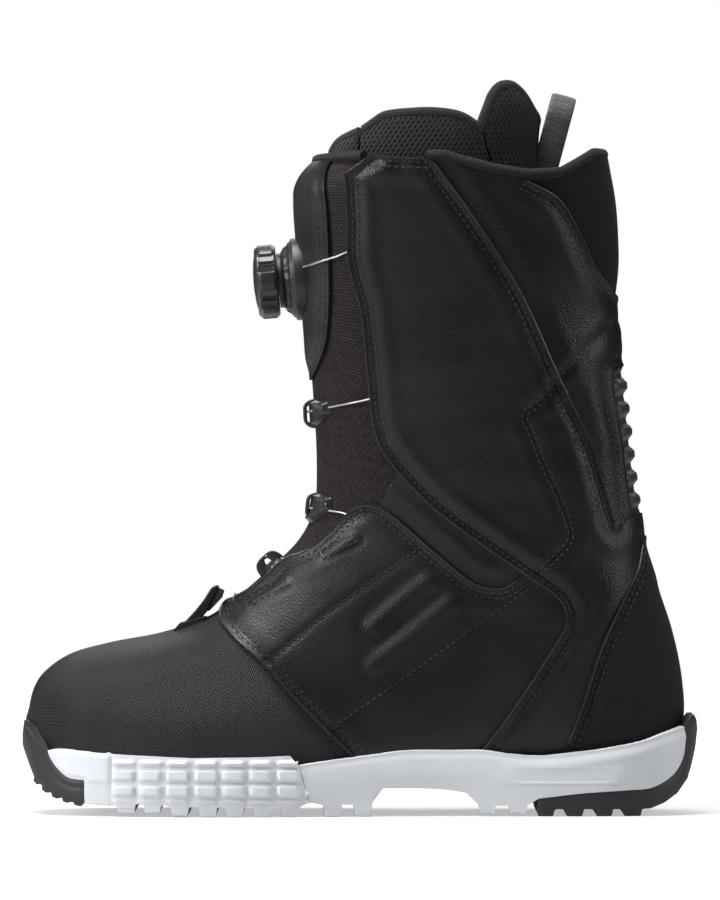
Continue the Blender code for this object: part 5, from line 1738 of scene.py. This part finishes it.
def make_camera():
    """Level side view of the outer side, through a long lens."""
    data = bpy.data.cameras.new("camera")
    data.sensor_width = SENSOR
    data.lens = SENSOR * (CAMERA_DISTANCE - NEAR_SIDE) / VIEW_HEIGHT
    data.clip_end = 100.0
    camera = bpy.data.objects.new("camera", data)
    camera.location = (0.0, -CAMERA_DISTANCE, CAMERA_HEIGHT)
    camera.rotation_euler = (math.pi / 2, 0, 0)
    bpy.context.scene.collection.objects.link(camera)
    bpy.context.scene.camera = camera


def area_light(name, place, size, power):
    data = bpy.data.lights.new(name, "AREA")
    data.shape = "RECTANGLE"
    data.size, data.size_y = size
    data.energy = power
    light = bpy.data.objects.new(name, data)
    light.location = place
    way = Vector(LIGHT_TARGET) - Vector(place)
    light.rotation_euler = way.to_track_quat("-Z", "Y").to_euler()
    bpy.context.scene.collection.objects.link(light)


def make_studio():
    """White room: bright to the camera and dim as a light, with softboxes and a floor."""
    bpy.context.scene.view_settings.view_transform = "Standard"
    world = bpy.data.worlds.new("studio")
    bpy.context.scene.world = world
    world.use_nodes = True
    tree = world.node_tree
    background = tree.nodes["Background"]
    path = tree.nodes.new("ShaderNodeLightPath")
    white = tree.nodes.new("ShaderNodeBackground")
    white.inputs["Color"].default_value = (1, 1, 1, 1)
    background.inputs["Color"].default_value = (0.93, 0.95, 1.0, 1)
    background.inputs["Strength"].default_value = 0.03
    mix = tree.nodes.new("ShaderNodeMixShader")
    tree.links.new(path.outputs["Is Camera Ray"], mix.inputs[0])
    tree.links.new(background.outputs[0], mix.inputs[1])
    tree.links.new(white.outputs[0], mix.inputs[2])
    tree.links.new(mix.outputs[0], tree.nodes["World Output"].inputs[0])
    for light in LIGHTS:
        area_light(*light)
    make_floor()


def make_floor():
    """Pale floor that glows to the camera only, more so away from the boot."""
    floor = bpy.data.objects.new("studio_floor", bpy.data.meshes.new("studio_floor"))
    bm = bmesh.new()
    bmesh.ops.create_circle(bm, cap_ends=True, segments=96, radius=1.5)
    bm.to_mesh(floor.data)
    bm.free()
    bpy.context.scene.collection.objects.link(floor)
    paint = Paint("studio_floor", (0.57, 0.57, 0.575), 0.7)
    place = paint.space("Object", (1, 1, 1))
    grain = paint.noise(place, 60.0)
    paint.set("Roughness", paint.between(grain, 0.55, 0.65))
    reach = paint.node("VectorMath", {"operation": "LENGTH"}, i0=place).outputs["Value"]
    paint.shader.inputs["Emission Color"].default_value = (1, 1, 1, 1)
    glow = paint.between(reach, 0.46, 1.0, 0.3, 1.3)
    seen = paint.node("LightPath").outputs["Is Camera Ray"]
    paint.set("Emission Strength", paint.math("MULTIPLY", glow, seen))
    floor.data.materials.append(paint.material)


make_camera()
make_studio()
PAINTS = Materials()
SHELL = Skin(surface(SHELL_SECTIONS, *SHELL_GRID))
SHELL_PATCHES = PatchGrid(SHELL, *PANEL_PATCHES)


def make_upper():
    upper = Upper(SHELL, SHELL_PATCHES)
    upper.toe_cap()
    for label, side in (("outer", OUTER), ("inner", INNER)):
        upper.saddle(label, side)
        upper.underlay(label, side)
        upper.quarter(label, side)
        upper.rear_quarter(label, side)
    upper.collar_mesh()
    upper.flex_insert()
    upper.heel_counter()
    upper.sew()
    return upper


UPPER = make_upper()
make_tongue(UPPER)
make_guides(UPPER)
make_dial()
make_lace()
make_collar()
make_liner()
make_loops()
make_sole()
finish_cad_pieces()
